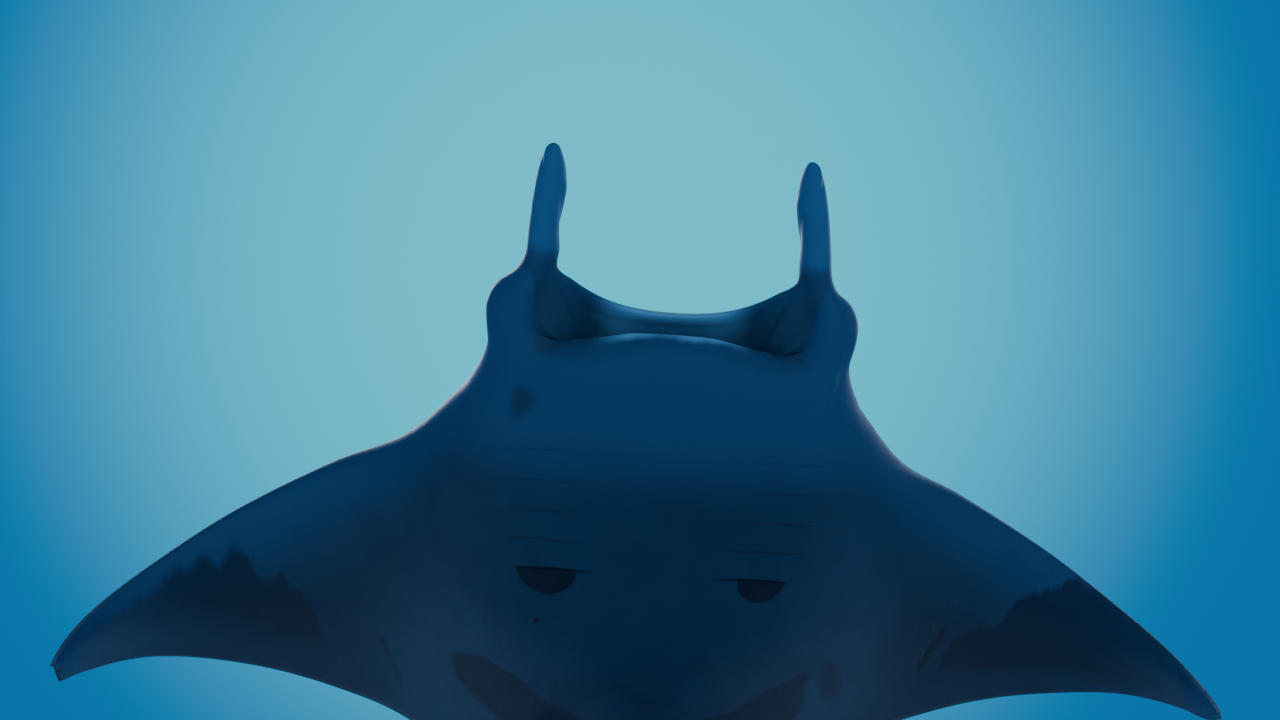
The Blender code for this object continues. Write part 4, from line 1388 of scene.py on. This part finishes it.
@dataclass(frozen=True)
class SkinFinish:
    """Deep blue belly and throat, painted shade under blue light, with charcoal markings;
    charcoal back, dark mouth.
    """

    # The underside's deep blue is painted shade under blue light, darker than its own pale
    # colour; belly and belly_shade differ at random, and the throat is paler still as a painted
    # glow.
    throat: Colour = (0.018, 0.120, 0.305)
    belly: Colour = (0.009, 0.066, 0.158)
    belly_shade: Colour = (0.006, 0.052, 0.128)
    charcoal: Colour = (0.0015, 0.011, 0.031)
    back: Colour = (0.022, 0.029, 0.037)
    back_pale: Colour = (0.055, 0.068, 0.080)
    shoulder: Colour = (0.520, 0.560, 0.580)
    # mouth: dark skin inside the mouth, the dark end of the painted shade deeper in
    mouth: Colour = (0.018, 0.088, 0.190)
    lip: Colour = (0.018, 0.100, 0.225)
    # painted light on the roof of the mouth just behind the upper lip
    palate_painted_light: Colour = (0.190, 0.600, 1.000)
    # horn: the head fins' undersides, paler than the belly as painted light where the fins
    # catch it
    horn: Colour = (0.030, 0.215, 0.480)
    scar: Colour = (0.260, 0.330, 0.370)
    wing_right: Patch = Patch(
        ((0.0, 0.5), (0.238, 0.40), (0.2457, 0.300), (0.2560, 0.277), (0.2656, 0.264),
         (0.2720, 0.265), (0.2794, 0.246), (0.2860, 0.257), (0.2990, 0.250),
         (0.3035, 0.235), (0.3110, 0.227), (0.3175, 0.229), (0.3225, 0.239), (0.3430, 0.232),
         (0.3620, 0.240), (0.3820, 0.252), (0.4100, 0.258), (0.5, 0.262), (1.0, 0.262)),
        ((0.0, 0.34), (0.246, 0.313), (0.281, 0.306), (0.304, 0.300), (0.327, 0.292),
         (0.350, 0.284), (0.382, 0.280), (0.5, 0.280), (1.0, 0.28)),
        (0.230, 0.250), (0.40, 0.50), 0.007, 0.022)
    wing_left: Patch = Patch(
        ((0.0, 0.5), (0.234, 0.40), (0.2400, 0.310), (0.2423, 0.290), (0.2520, 0.280),
         (0.2606, 0.272), (0.2844, 0.265), (0.2900, 0.255), (0.2967, 0.241),
         (0.3120, 0.233), (0.3271, 0.226), (0.3400, 0.220), (0.3600, 0.224),
         (0.4100, 0.238), (0.5, 0.255), (1.0, 0.255)),
        ((0.0, 0.33), (0.243, 0.309), (0.272, 0.311), (0.292, 0.307), (0.331, 0.302),
         (0.370, 0.299), (0.411, 0.289), (0.5, 0.280), (1.0, 0.28)),
        (0.228, 0.246), (0.40, 0.50), 0.0035, 0.010)
    belt: Patch = Patch(
        ((0.0, 0.350), (0.030, 0.345), (0.050, 0.332), (0.072, 0.323), (0.091, 0.306),
         (0.118, 0.289), (0.138, 0.296), (1.0, 0.50)),
        ((0.0, 0.380), (0.030, 0.388), (0.070, 0.378), (0.104, 0.350), (0.127, 0.327),
         (0.140, 0.310), (1.0, 0.2)), (0.022, 0.045), (0.134, 0.142))
    blots: tuple[Blot, ...] = (
        Blot(-0.100, 0.082, 0.0070, 0.0120, 0.25, 0.50, 0.60),
        Blot(-0.079, 0.2486, 0.0020, 0.0024),
        Blot(-0.068, 0.2440, 0.0012, 0.0012, 0, 0.6),
        Blot(-0.196, 0.306, 0.0030, 0.0110, -0.35, 0.55, 0.4),
        Blot(-0.186, 0.330, 0.0025, 0.0090, -0.35, 0.5, 0.4),
        Blot(0.2265, 0.296, 0.0036, 0.0150, 0.30, 0.95, 0.3),
        Blot(0.2360, 0.278, 0.0030, 0.0110, 0.30, 0.95, 0.3),
        Blot(0.1415, 0.305, 0.0080, 0.0220, -0.36, 0.62, 0.45),
        Blot(0.008, 0.312, 0.0200, 0.0060, 0.2, 0.35, 0.7),
        Blot(-0.014, 0.300, 0.0090, 0.0040, 0.4, 0.30, 0.7),
        Blot(0.030, 0.325, 0.0110, 0.0050, -0.3, 0.30, 0.7),
    )
    shoulder_patch: Patch = Patch(
        ((0.0, 0.19), (0.024, 0.175), (0.050, 0.118), (0.080, 0.104), (0.130, 0.112),
         (0.190, 0.148), (0.235, 0.180), (1.0, 0.5)),
        ((0.0, 0.16), (0.024, 0.180), (0.050, 0.222), (0.090, 0.232), (0.140, 0.214),
         (0.190, 0.196), (0.235, 0.184), (1.0, 0.2)), (0.018, 0.030), (0.20, 0.24), 0.006)
    outline: Outline = Outline()
    chin_line: tuple[Pair, ...] = (
        (0.0, 0.0335), (0.024, 0.0345), (0.040, 0.0385), (0.050, 0.0425), (0.075, 0.0465),
        (0.092, 0.0475), (0.100, 0.045), (1.0, 0.045))
    corner_line: tuple[Pair, ...] = (          # s at which it ends, against shifted a
        (0.0, 0.14), (0.080, 0.125), (0.092, 0.108), (0.102, 0.0985), (0.115, 0.0970),
        (0.150, 0.0940), (0.2, 0.09), (1.0, 0.09))
    belt_left: Pair = (0.118, 0.126)           # s over which the belt ends on the left
    moons: tuple[Triple, ...] = (              # x, half width and half length
        (-0.0762, 0.0205, 0.0200), (0.0764, 0.0165, 0.0175))
    moon_front: Triple = (0.1990, 0.06, 0.0004)    # a, how much further aft per s, soft
    moon_a: float = 0.2045
    moon_soft: float = 0.05
    freckles: Speckle = Speckle(55, (0.70, 0.76), 3.0, (0.52, 0.7))
    scratches: Speckle = Speckle(1.0, (0.70, 0.78), 4.0, (0.55, 0.75), stretch=(160, 9, 9))
    tear: float = 0.017                        # of the wing patches' front edges,
    shoulder_tear: float = 0.012               # and of the shoulder patch
    wing_dark: float = 0.74
    wing_fade: Triple = (0.33, 0.44, 0.40)     # range of s, and share that fades there
    tip_dark: Triple = (0.33, 0.46, 0.10)      # range of s, and darkness beyond it
    belt_dark: float = 0.72
    # painted shade in the gill grooves
    groove_painted_shade: float = 0.85
    shading: Triple = (0.35, 0.35, 0.75)       # swing of the mottling; belly to shade
    paint_mottle: float = 0.35
    back_clouds: Pair = (0.40, 0.75)           # of the noise, from back to pale back
    shoulder_mottle: Pair = (0.10, 0.42)
    horn_mottle: float = 0.2
    throat_a: Pair = (-0.05, 0.17)             # from throat to belly: paler at the front as a painted glow
    front_edge_painted_light: Triple = (0.0, 0.07, 0.75)      # painted light: distance behind the front edge, and share
    # painted shade on the inner wings towards their rear edges: chord range and share, then
    # range of s
    rear_chord_painted_shade: Triple = (0.05, 0.12, 0.50)
    rear_chord_painted_shade_s: Pair = (0.14, 0.24)
    horn_a: Pair = (-0.024, -0.008)            # from head fin to head
    muzzle_soft: Pair = (-0.0015, 0.003)
    lids_dark: float = 0.9
    palate_s: Pair = (0.030, 0.062)            # from the palate to the mouth's sides
    palate_deep: Pair = (0.016, 0.042)         # behind the lip, from the roof's painted light to the gullet's painted shade
    lip_deep: Pair = (0.006, 0.020)            # and from lip to mouth, darker deeper in as painted shade
    floor_back: Pair = (0.05, 0.30)
    floor_deep: Pair = (0.006, 0.010)
    bumps: tuple[Triple, ...] = (              # scale, depth in metres and strength
        (46, 0.003, 0.35), (420, 0.0006, 0.6))
    fibre_bump: Pair = (0.006, 0.25)
    rough: Pair = (0.53, 0.22)                 # middle and swing
    gloss: float = 0.24

    @property
    def leading_line(self) -> tuple[Pair, ...]:
        """Front edge of the wing as (s, a), going on level at both ends."""
        edge = tuple(zip(self.outline.leading_s, self.outline.leading_a))
        return ((0.0, edge[0][1]), *edge, (1.0, edge[-1][1]))

    @property
    def lip_line(self) -> tuple[Pair, ...]:
        """Upper lip as (s, shifted a), going on level beyond its corner."""
        s, a = self.outline.upper_lip(np.linspace(0, 1, 9)).T
        return (*zip(s, a + SHIFT), (1.0, a[-1] + SHIFT))

    def strip(self, g: Graph, patch: Patch, s: Socket, a: Socket,
              torn: Optional[Socket] = None) -> Socket:
        """Mask between the two lines of a patch, the front one torn if that is given."""
        front = self.after(g, torn or a, g.curve(s, patch.front), patch.soft)
        rear = g.without(self.after(g, a, g.curve(s, patch.rear), patch.rear_soft))
        ends = g.both(g.step(s, *patch.inner), g.without(g.step(s, *patch.outer)))
        return g.both(g.both(front, rear), ends)

    @staticmethod
    def after(g: Graph, a: Socket, line: Value, soft: float) -> Socket:
        """1 where a lies behind a line, with a soft edge."""
        return g.step(g.less(a, line), -soft, soft)

    def moon(self, lay: Lay, x: float, wide: float, deep: float) -> Socket:
        """Half-moon behind the fifth gill slit: half an oval with a straight front."""
        g, (front, slope, soft) = lay.g, self.moon_front
        oval = g.blot(lay.flat, Blot(x, self.moon_a, wide, deep, soft=self.moon_soft))
        cut = g.parts(lay.flat)
        line = g.sum(g.both(g.math("ABSOLUTE", cut[0]), slope), front)
        return g.both(oval, self.after(g, cut[1], line, soft))

    def markings(self, lay: Lay) -> Socket:
        """Mask of all dark markings of the underside, and of the painted shade in the gill
        grooves.
        """
        g, s, a, torn = lay.g, lay.s, lay.a, lay.torn(self.tear)
        wings = g.pick(lay.left, self.strip(g, self.wing_left, s, a, torn),
                       self.strip(g, self.wing_right, s, a, torn))
        near, far, share = self.wing_fade
        wings = g.both(g.both(wings, self.wing_dark),
                       g.without(g.both(g.step(s, near, far), share)))
        near, far, share = self.tip_dark
        belt = g.pick(lay.left, self.strip(g, replace(self.belt, outer=self.belt_left), s, a),
                      self.strip(g, self.belt, s, a))
        dark = g.either(wings, g.both(g.step(s, near, far), share))
        for mask in (g.both(belt, self.belt_dark),
                     *(g.blot(lay.loose, spot) for spot in self.blots),
                     *(self.moon(lay, *moon) for moon in self.moons),
                     # painted shade in the gill grooves
                     g.both(g.value("groove"), self.groove_painted_shade), g.speckle(self.freckles)):
            dark = g.either(dark, mask)
        return dark

    def underside(self, lay: Lay) -> Socket:
        """Clouded belly with its markings; a painted glow makes it paler at the throat, painted
        light paler behind the front edges, and painted shade darker towards the rear of the
        inner wings.
        """
        g, chord = lay.g, lay.g.less(lay.a, lay.g.curve(lay.s, self.leading_line))
        swing, low, high = self.shading
        clouds = g.step(g.sum(lay.cloud, g.swing(lay.mottle, swing)), low, high)
        belly = g.mix(clouds, self.belly, self.belly_shade)
        # painted glow: paler towards the throat and cheeks
        belly = g.mix(g.step(lay.a, *self.throat_a), self.throat, belly)
        # painted light: paler behind the wings' front edges, towards the throat's colour
        near, far, share = self.front_edge_painted_light
        pale = g.both(g.without(g.step(chord, near, far)), share)
        # painted shade: darker towards the rear of the inner wings
        near, far, share = self.rear_chord_painted_shade
        dark = g.both(g.step(chord, near, far), g.step(lay.s, *self.rear_chord_painted_shade_s))
        belly = g.mix(g.both(dark, share), g.mix(pale, belly, self.throat), self.charcoal)
        paint = g.mix(g.both(lay.mottle, self.paint_mottle), self.charcoal, self.belly_shade)
        return g.mix(self.markings(lay), belly, paint)

    def topside(self, lay: Lay) -> Socket:
        """Clouded back with its pale shoulder patches."""
        g = lay.g
        pale = self.strip(g, self.shoulder_patch, lay.s, lay.torn(self.shoulder_tear))
        over = g.mix(g.step(lay.cloud, *self.back_clouds), self.back, self.back_pale)
        pale = g.both(pale, g.step(lay.mottle, *self.shoulder_mottle))
        return g.mix(pale, over, self.shoulder)

    def inside(self, lay: Lay, back: Socket) -> Socket:
        """Lips, mouth and the roof of the mouth by the distance behind the upper lip: painted
        light on the roof near the lip, painted shade darkening the mouth deeper in.
        """
        g = lay.g
        deep = g.less(g.sum(lay.a, SHIFT), g.curve(lay.s, self.lip_line))
        # painted light on the roof of the mouth turns to painted shade deeper in, and at the
        # sides the lip darkens deeper in as painted shade
        middle = g.mix(g.step(deep, *self.palate_deep), self.palate_painted_light, self.mouth)
        sides = g.mix(g.step(deep, *self.lip_deep), self.lip, self.mouth)
        floor = g.either(back, g.both(g.step(back, *self.floor_back),
                                      g.step(deep, *self.floor_deep)))
        return g.mix(g.either(g.step(lay.s, *self.palate_s), floor), middle, sides)

    def material(self) -> bpy.types.Material:
        """The skin's shader: masks in flat coordinates, then colour, gloss and bump."""
        g = Graph(bpy.data.materials.new("manta_skin"))
        lay, back, mouth = Lay(g), g.value("back"), g.value("mouth")
        over = self.topside(lay)
        skin = g.mix(g.speckle(self.scratches), g.mix(back, self.underside(lay), over),
                     self.scar)
        horn = g.both(g.without(g.step(lay.a, *self.horn_a)), g.without(mouth))
        # head fins' undersides: paler blue as painted light
        under = g.mix(g.both(lay.mottle, self.horn_mottle), self.horn, self.belly)
        skin = g.mix(horn, skin, g.mix(back, under, over))
        # muzzle: the ray's own dark skin round the mouth's corners, painted in the mouth's
        # colours and so darkened as painted shade carried on from the mouth
        ahead = g.less(g.curve(lay.s, self.chin_line), lay.a)
        within = g.less(g.curve(g.sum(lay.a, SHIFT), self.corner_line), lay.s)
        muzzle = g.both(g.step(ahead, *self.muzzle_soft), g.step(within, *self.muzzle_soft))
        muzzle = g.both(g.both(muzzle, g.without(horn)), g.without(back))
        # mouth, muzzle and lids: dark skin, with the painted light and painted shade of the
        # mouth
        dark_skin_painted_light_and_shade = g.either(g.either(mouth, muzzle), g.both(g.value("lids"), self.lids_dark))
        skin = g.mix(dark_skin_painted_light_and_shade, skin, self.inside(lay, back))

        normal = g.bump(lay.fibre, *self.fibre_bump)
        (leather_scale, *leather_bump), (grain_scale, *grain_bump) = self.bumps
        leather = g.noise(lay.here, leather_scale, 4.0, 0.6)
        normal = g.bump(leather, *leather_bump, normal)
        normal = g.bump(g.noise(lay.here, grain_scale), *grain_bump, normal)
        rough = g.sum(self.rough[0], g.swing(leather, self.rough[1]))
        return g.finish(Base_Color=skin, Roughness=rough, Normal=normal,
                        Specular_IOR_Level=self.gloss)


@dataclass(frozen=True)
class EyeFinish:
    """Dark wet eye: brown-gold iris flecks round a wide flat pupil."""

    pupil: Colour = (0.002, 0.002, 0.003)
    iris: Colour = (0.050, 0.036, 0.022)
    rim: Colour = (0.006, 0.006, 0.008)
    pupil_half: Pair = (0.40, 0.15)      # in radii, along and across
    pupil_edge: Pair = (0.92, 1.10)      # in pupils
    iris_edge: Pair = (0.50, 0.64)       # in radii
    fleck_scale: float = 260
    rough: float = 0.10
    coat: Pair = (0.5, 0.03)             # weight and roughness

    @staticmethod
    def far(g: Graph, along: Socket, across: Socket) -> Socket:
        """Distance from the line of sight."""
        return g.math("SQRT", g.sum(g.math("POWER", along, 2), g.math("POWER", across, 2)))

    def material(self) -> bpy.types.Material:
        """Pupil and iris as ovals across the line of sight."""
        g = Graph(bpy.data.materials.new("manta_eye"))
        sight = g.parts(g.value("sight", "Vector"))[1:]
        iris = self.far(g, *sight)
        pupil = self.far(g, *(g.math("DIVIDE", part, half)
                              for part, half in zip(sight, self.pupil_half)))
        flecks = g.mix(g.noise(g.place(), self.fleck_scale, 3.0), self.iris, self.rim)
        colour = g.mix(g.step(iris, *self.iris_edge), flecks, self.rim)
        colour = g.mix(g.step(pupil, *self.pupil_edge), self.pupil, colour)
        weight, rough = self.coat
        return g.finish(Base_Color=colour, Roughness=self.rough, Coat_Weight=weight,
                        Coat_Roughness=rough)


@dataclass(frozen=True)
class SteelFinish:
    """Brushed steel; the brushing runs along the axis that is stretched least."""

    name: str
    stretch: Triple
    colour: Colour = (0.36, 0.37, 0.385)
    worn: Colour = (0.24, 0.245, 0.255)
    brushing: Triple = (1.0, 4.0, 0.7)      # scale, detail and roughness of the noises
    handling: Triple = (6.0, 4.0, 0.6)
    share: float = 0.5                      # of the worn colour in the brushing
    rough: Triple = (0.30, 0.12, 0.10)      # middle, and swings of brushing and marks
    grooves: Pair = (0.0003, 0.5)           # metres, and strength

    def material(self) -> bpy.types.Material:
        """Long fine noise for the brushing and broad noise for handling marks."""
        g = Graph(bpy.data.materials.new(self.name))
        brush = g.noise(g.place(self.stretch), *self.brushing)
        marks = g.noise(g.place(), *self.handling)
        colour = g.mix(g.both(brush, self.share), self.colour, self.worn)
        middle, fine, broad = self.rough
        rough = g.sum(middle, g.sum(g.swing(brush, fine), g.swing(marks, broad)))
        return g.finish(Base_Color=colour, Metallic=1.0, Roughness=rough,
                        Normal=g.bump(brush, *self.grooves))


@dataclass(frozen=True)
class FloorFinish:
    """Plain pale painted floor."""

    colour: Colour = (0.70, 0.74, 0.77)
    cloudy: Colour = (0.62, 0.66, 0.70)
    clouds: Pair = (0.6, 4.0)               # scale and detail
    rough: float = 0.55

    def material(self) -> bpy.types.Material:
        """Even colour with a faint cloudiness and some sheen."""
        g = Graph(bpy.data.materials.new("pale_floor"))
        cloud = g.noise(g.place(), *self.clouds)
        colour = g.mix(g.both(cloud, 0.3), self.colour, self.cloudy)
        return g.finish(Base_Color=colour, Roughness=self.rough)


# ------------------------------------------------------------------ stand and studio
def turned(profile: Sequence[Pair], middle: Vector, sides: int) -> Array:
    """Grid of a profile (radius, height) turned once round an upright axis."""
    radius, height = np.asarray(profile, float).T[..., None]
    turn = once_round(sides)
    grid = tube(radius * np.cos(turn), radius * np.sin(turn), height, ends=False)[0]
    return grid + np.array(middle)


@dataclass(frozen=True)
class Upright:
    """One turned steel rod into the belly, with the screwed collar round its foot."""

    side: Side
    radius: float = 0.038
    foot: float = 0.0403                    # top of the base plate
    enters: Triple = (0.075, 0.375, -0.030)  # where it meets the belly, laid flat
    inside: float = 0.09                    # how far it reaches in
    wall: float = 0.020
    collar: float = 0.060                   # height
    flange: Pair = (0.062, 0.014)           # width beyond the rod, and height
    gap: float = 0.0003                     # between rod and collar
    bevels: Triple = (0.002, 0.003, 0.004)  # of the rod, the flange and the neck
    corner: float = 0.0012                  # what is left beside a rounded corner
    screws: int = 4
    head: tuple[Pair, ...] = (              # of a screw: radius and height
        (0, -0.002), (0.009, -0.002), (0.009, 0.003), (0.0082, 0.0052), (0.0066, 0.0066),
        (0.0045, 0.0070), (0.0043, 0.0035), (0, 0.0035))
    sides: int = 96
    head_sides: int = 40
    sharp: float = math.radians(30)         # edges from this angle stay sharp

    @property
    def axis(self) -> tuple[Vector, float]:
        """Foot of the rod in the world, and its height."""
        x, y, z = Pose().world(np.array(self.enters))
        return Vector((self.side.value * x, y, self.foot)), z + self.inside - self.foot

    def build(self, rod: bpy.types.Material, ring: bpy.types.Material
              ) -> list[bpy.types.Object]:
        """Makes the rod and the collar, sets them under the body's root and hides the nodes
        that they replace.
        """
        foot, height = self.axis
        r, top, corner = self.radius, self.collar, self.corner
        chamfer, low_bevel, bevel = self.bevels
        shaft = turned(((0, 0), (r, 0), (r, height - chamfer), (r - chamfer, height),
                        (0, height)), foot, self.sides)
        wide, low = r + self.flange[0], self.flange[1]
        neck, bore = r + self.wall, r + self.gap
        line = ((bore, 0), (wide, 0), (wide, low - low_bevel), (wide - low_bevel, low),
                (neck + bevel, low), (neck + corner, low + corner), (neck, low + bevel),
                (neck, top - bevel), (neck - corner, top - corner), (neck - bevel, top),
                (bore, top), (bore, 0))
        patches, reach = [turned(line, foot, self.sides)], (neck + wide) / 2
        for turn in (math.pi / 4 + 2 * math.pi * k / self.screws for k in range(self.screws)):
            seat = foot + Vector((reach * math.cos(turn), reach * math.sin(turn), low))
            patches.append(turned(self.head, seat, self.head_sides))
        made = []
        for kind, grids, material in (("rod", [shaft], rod), ("collar", patches, ring)):
            obj = weld(f"turned_{kind}_{self.side.name.lower()}", grids)
            obj.data.shade_smooth()
            obj.data.set_sharp_from_angle(angle=self.sharp)
            obj.data.materials.append(material)
            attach(obj, "root")
            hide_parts(f"stand_{kind}_{self.side.name.lower()}")
            made.append(obj)
        return made


@dataclass(frozen=True)
class Stand:
    """The plain steel stand: a base plate, whose solid is kept, and two uprights."""

    brushing: tuple[Triple, ...] = (         # stretch on the base, the rods, the collars
        (3, 900, 900), (700, 700, 5), (4, 4, 900))

    def build(self, nodes: dict[str, bpy.types.Object]) -> None:
        """Puts the brushed finish on the base and makes the uprights."""
        names = ("brushed_base", "brushed_rods", "turned_rings")
        base, rod, ring = (SteelFinish(name, stretch).material()
                           for name, stretch in zip(names, self.brushing))
        for slot in nodes["stand_base"].material_slots:
            slot.material = base
        for side in Side:
            for piece in Upright(side).build(rod, ring):
                report(piece)


@dataclass(frozen=True)
class Lamp:
    """Square soft light that looks at a point."""

    name: str
    place: Triple
    aim: Triple
    size: float                 # metres
    power: float                # watts
    colour: Colour = (0.84, 0.94, 1.0)

    def build(self) -> None:
        """Makes the light."""
        light = bpy.data.lights.new(self.name, "AREA")
        light.size, light.energy, light.color = self.size, self.power, self.colour
        obj = linked(self.name, light)
        obj.location = self.place
        look = Vector(self.aim) - Vector(self.place)
        obj.rotation_euler = look.to_track_quat("-Z", "Y").to_euler()


@dataclass(frozen=True)
class Studio:
    """Pale floor, soft light from above and behind, and the camera under the snout."""

    aim: Triple = (-0.0213, 0.0538, -0.02)      # body point in the middle of the frame
    away: float = 1.05                          # wingspans from the aim to the camera
    forward: float = math.radians(18)           # from straight under, towards the snout
    aside: float = -0.0558
    roll: float = 0.0672
    focal: float = 42.046875                    # millimetres
    room: Colour = (0.18, 0.34, 0.50)
    sky: Colour = (0.010, 0.25, 0.68)
    glow: Colour = (0.015, 0.66, 0.90)
    glow_from: Triple = (0.03, 0.90, 0.43)      # where the backdrop is brightest
    levels: Triple = (0.40, 0.25, 0.52)         # all round, more behind, more at the glow
    behind: Pair = (-0.5, 0.8)                  # cosines of the angle to the glow
    sky_from: Pair = (0.2, 0.75)
    spot: Pair = (0.90, 1.0)
    floor: float = 150.0                        # metres, half its side
    sensor: float = 36.0                        # millimetres
    clip: float = 600.0                         # metres
    lamps: tuple[Lamp, ...] = (
        Lamp("key", (-2.0, 3.6, 6.2), (0, -0.3, 1.6), 4.0, 420),
        Lamp("rim", (3.4, 2.0, 4.2), (0.4, -0.4, 1.8), 2.5, 40),
        Lamp("fill", (1.5, -5.5, 3.0), (0, -0.3, 1.7), 5.0, 40))

    def build(self, finish: FloorFinish) -> None:
        """Makes floor, world, lights and camera."""
        mesh, side = bpy.data.meshes.new("floor"), self.floor
        mesh.from_pydata([(-side, -side, 0), (side, -side, 0), (side, side, 0),
                          (-side, side, 0)], [], [(0, 1, 2, 3)])
        floor = linked("floor", mesh)
        mesh.materials.append(finish.material())
        self.backdrop()
        for lamp in self.lamps:
            lamp.build()
        self.camera()

    def backdrop(self) -> None:
        """Soft surrounding light, brighter behind the model, brightest in one place.

        The cosine of the angle to that place sets both, through two smooth steps.
        """
        world = bpy.data.worlds.new("studio")
        g = Graph(world)
        way = g.node("TexCoord").outputs["Generated"]
        near = g.vector("DOT_PRODUCT", way, Vector(self.glow_from).normalized())
        spot, (even, more, most) = g.step(near, *self.spot), self.levels
        level = g.sum(even, g.both(g.step(near, *self.behind), more))
        around = g.mix(g.step(near, *self.sky_from), self.room, self.sky)
        g.finish(Color=g.mix(spot, around, self.glow),
                 Strength=g.sum(level, g.both(spot, most)))
        bpy.context.scene.world = world

    def camera(self) -> None:
        """Camera in body directions: under the belly, forward, aside, and rolled."""
        pose = Pose()
        zero = pose.world(np.zeros(3))
        right, aft, up = ((pose.world(axis) - zero) / SPAN for axis in np.eye(3))
        ahead = -aft
        below = -up * math.cos(self.forward) + ahead * math.sin(self.forward)
        off = below * math.cos(self.aside) + right * math.sin(self.aside)
        place = pose.world(np.array(self.aim)) + off * self.away * SPAN
        top = ahead * math.cos(self.forward) + up * math.sin(self.forward)
        top = top - off * (top @ off)
        top = top / np.linalg.norm(top)
        hand = np.cross(-off, top)
        tilt_x = hand * math.cos(self.roll) + top * math.sin(self.roll)
        tilt_y = top * math.cos(self.roll) - hand * math.sin(self.roll)
        data = bpy.data.cameras.new("camera")
        data.sensor_width, data.lens, data.clip_end = self.sensor, self.focal, self.clip
        obj, turn = linked("camera", data), np.eye(4)
        turn[:3] = np.stack([tilt_x, tilt_y, off, place], -1)
        obj.matrix_world = Matrix(turn.tolist())
        bpy.context.scene.camera = obj


def report(piece: bpy.types.Object) -> None:
    """Logs a piece's name and size."""
    LOG.info("%s: %d vertices, %d faces", piece.name, len(piece.data.vertices),
             len(piece.data.polygons))


def main() -> None:
    """Builds the model and the studio in order."""
    logging.basicConfig(level=logging.INFO, format="%(name)s %(message)s")
    Studio().build(FloorFinish())
    report(Skin().build(SkinFinish()))
    for side in Side:
        report(Eye(side).build(EyeFinish()))
    Stand().build(frame["nodes"])


if __name__ == "__main__":
    main()
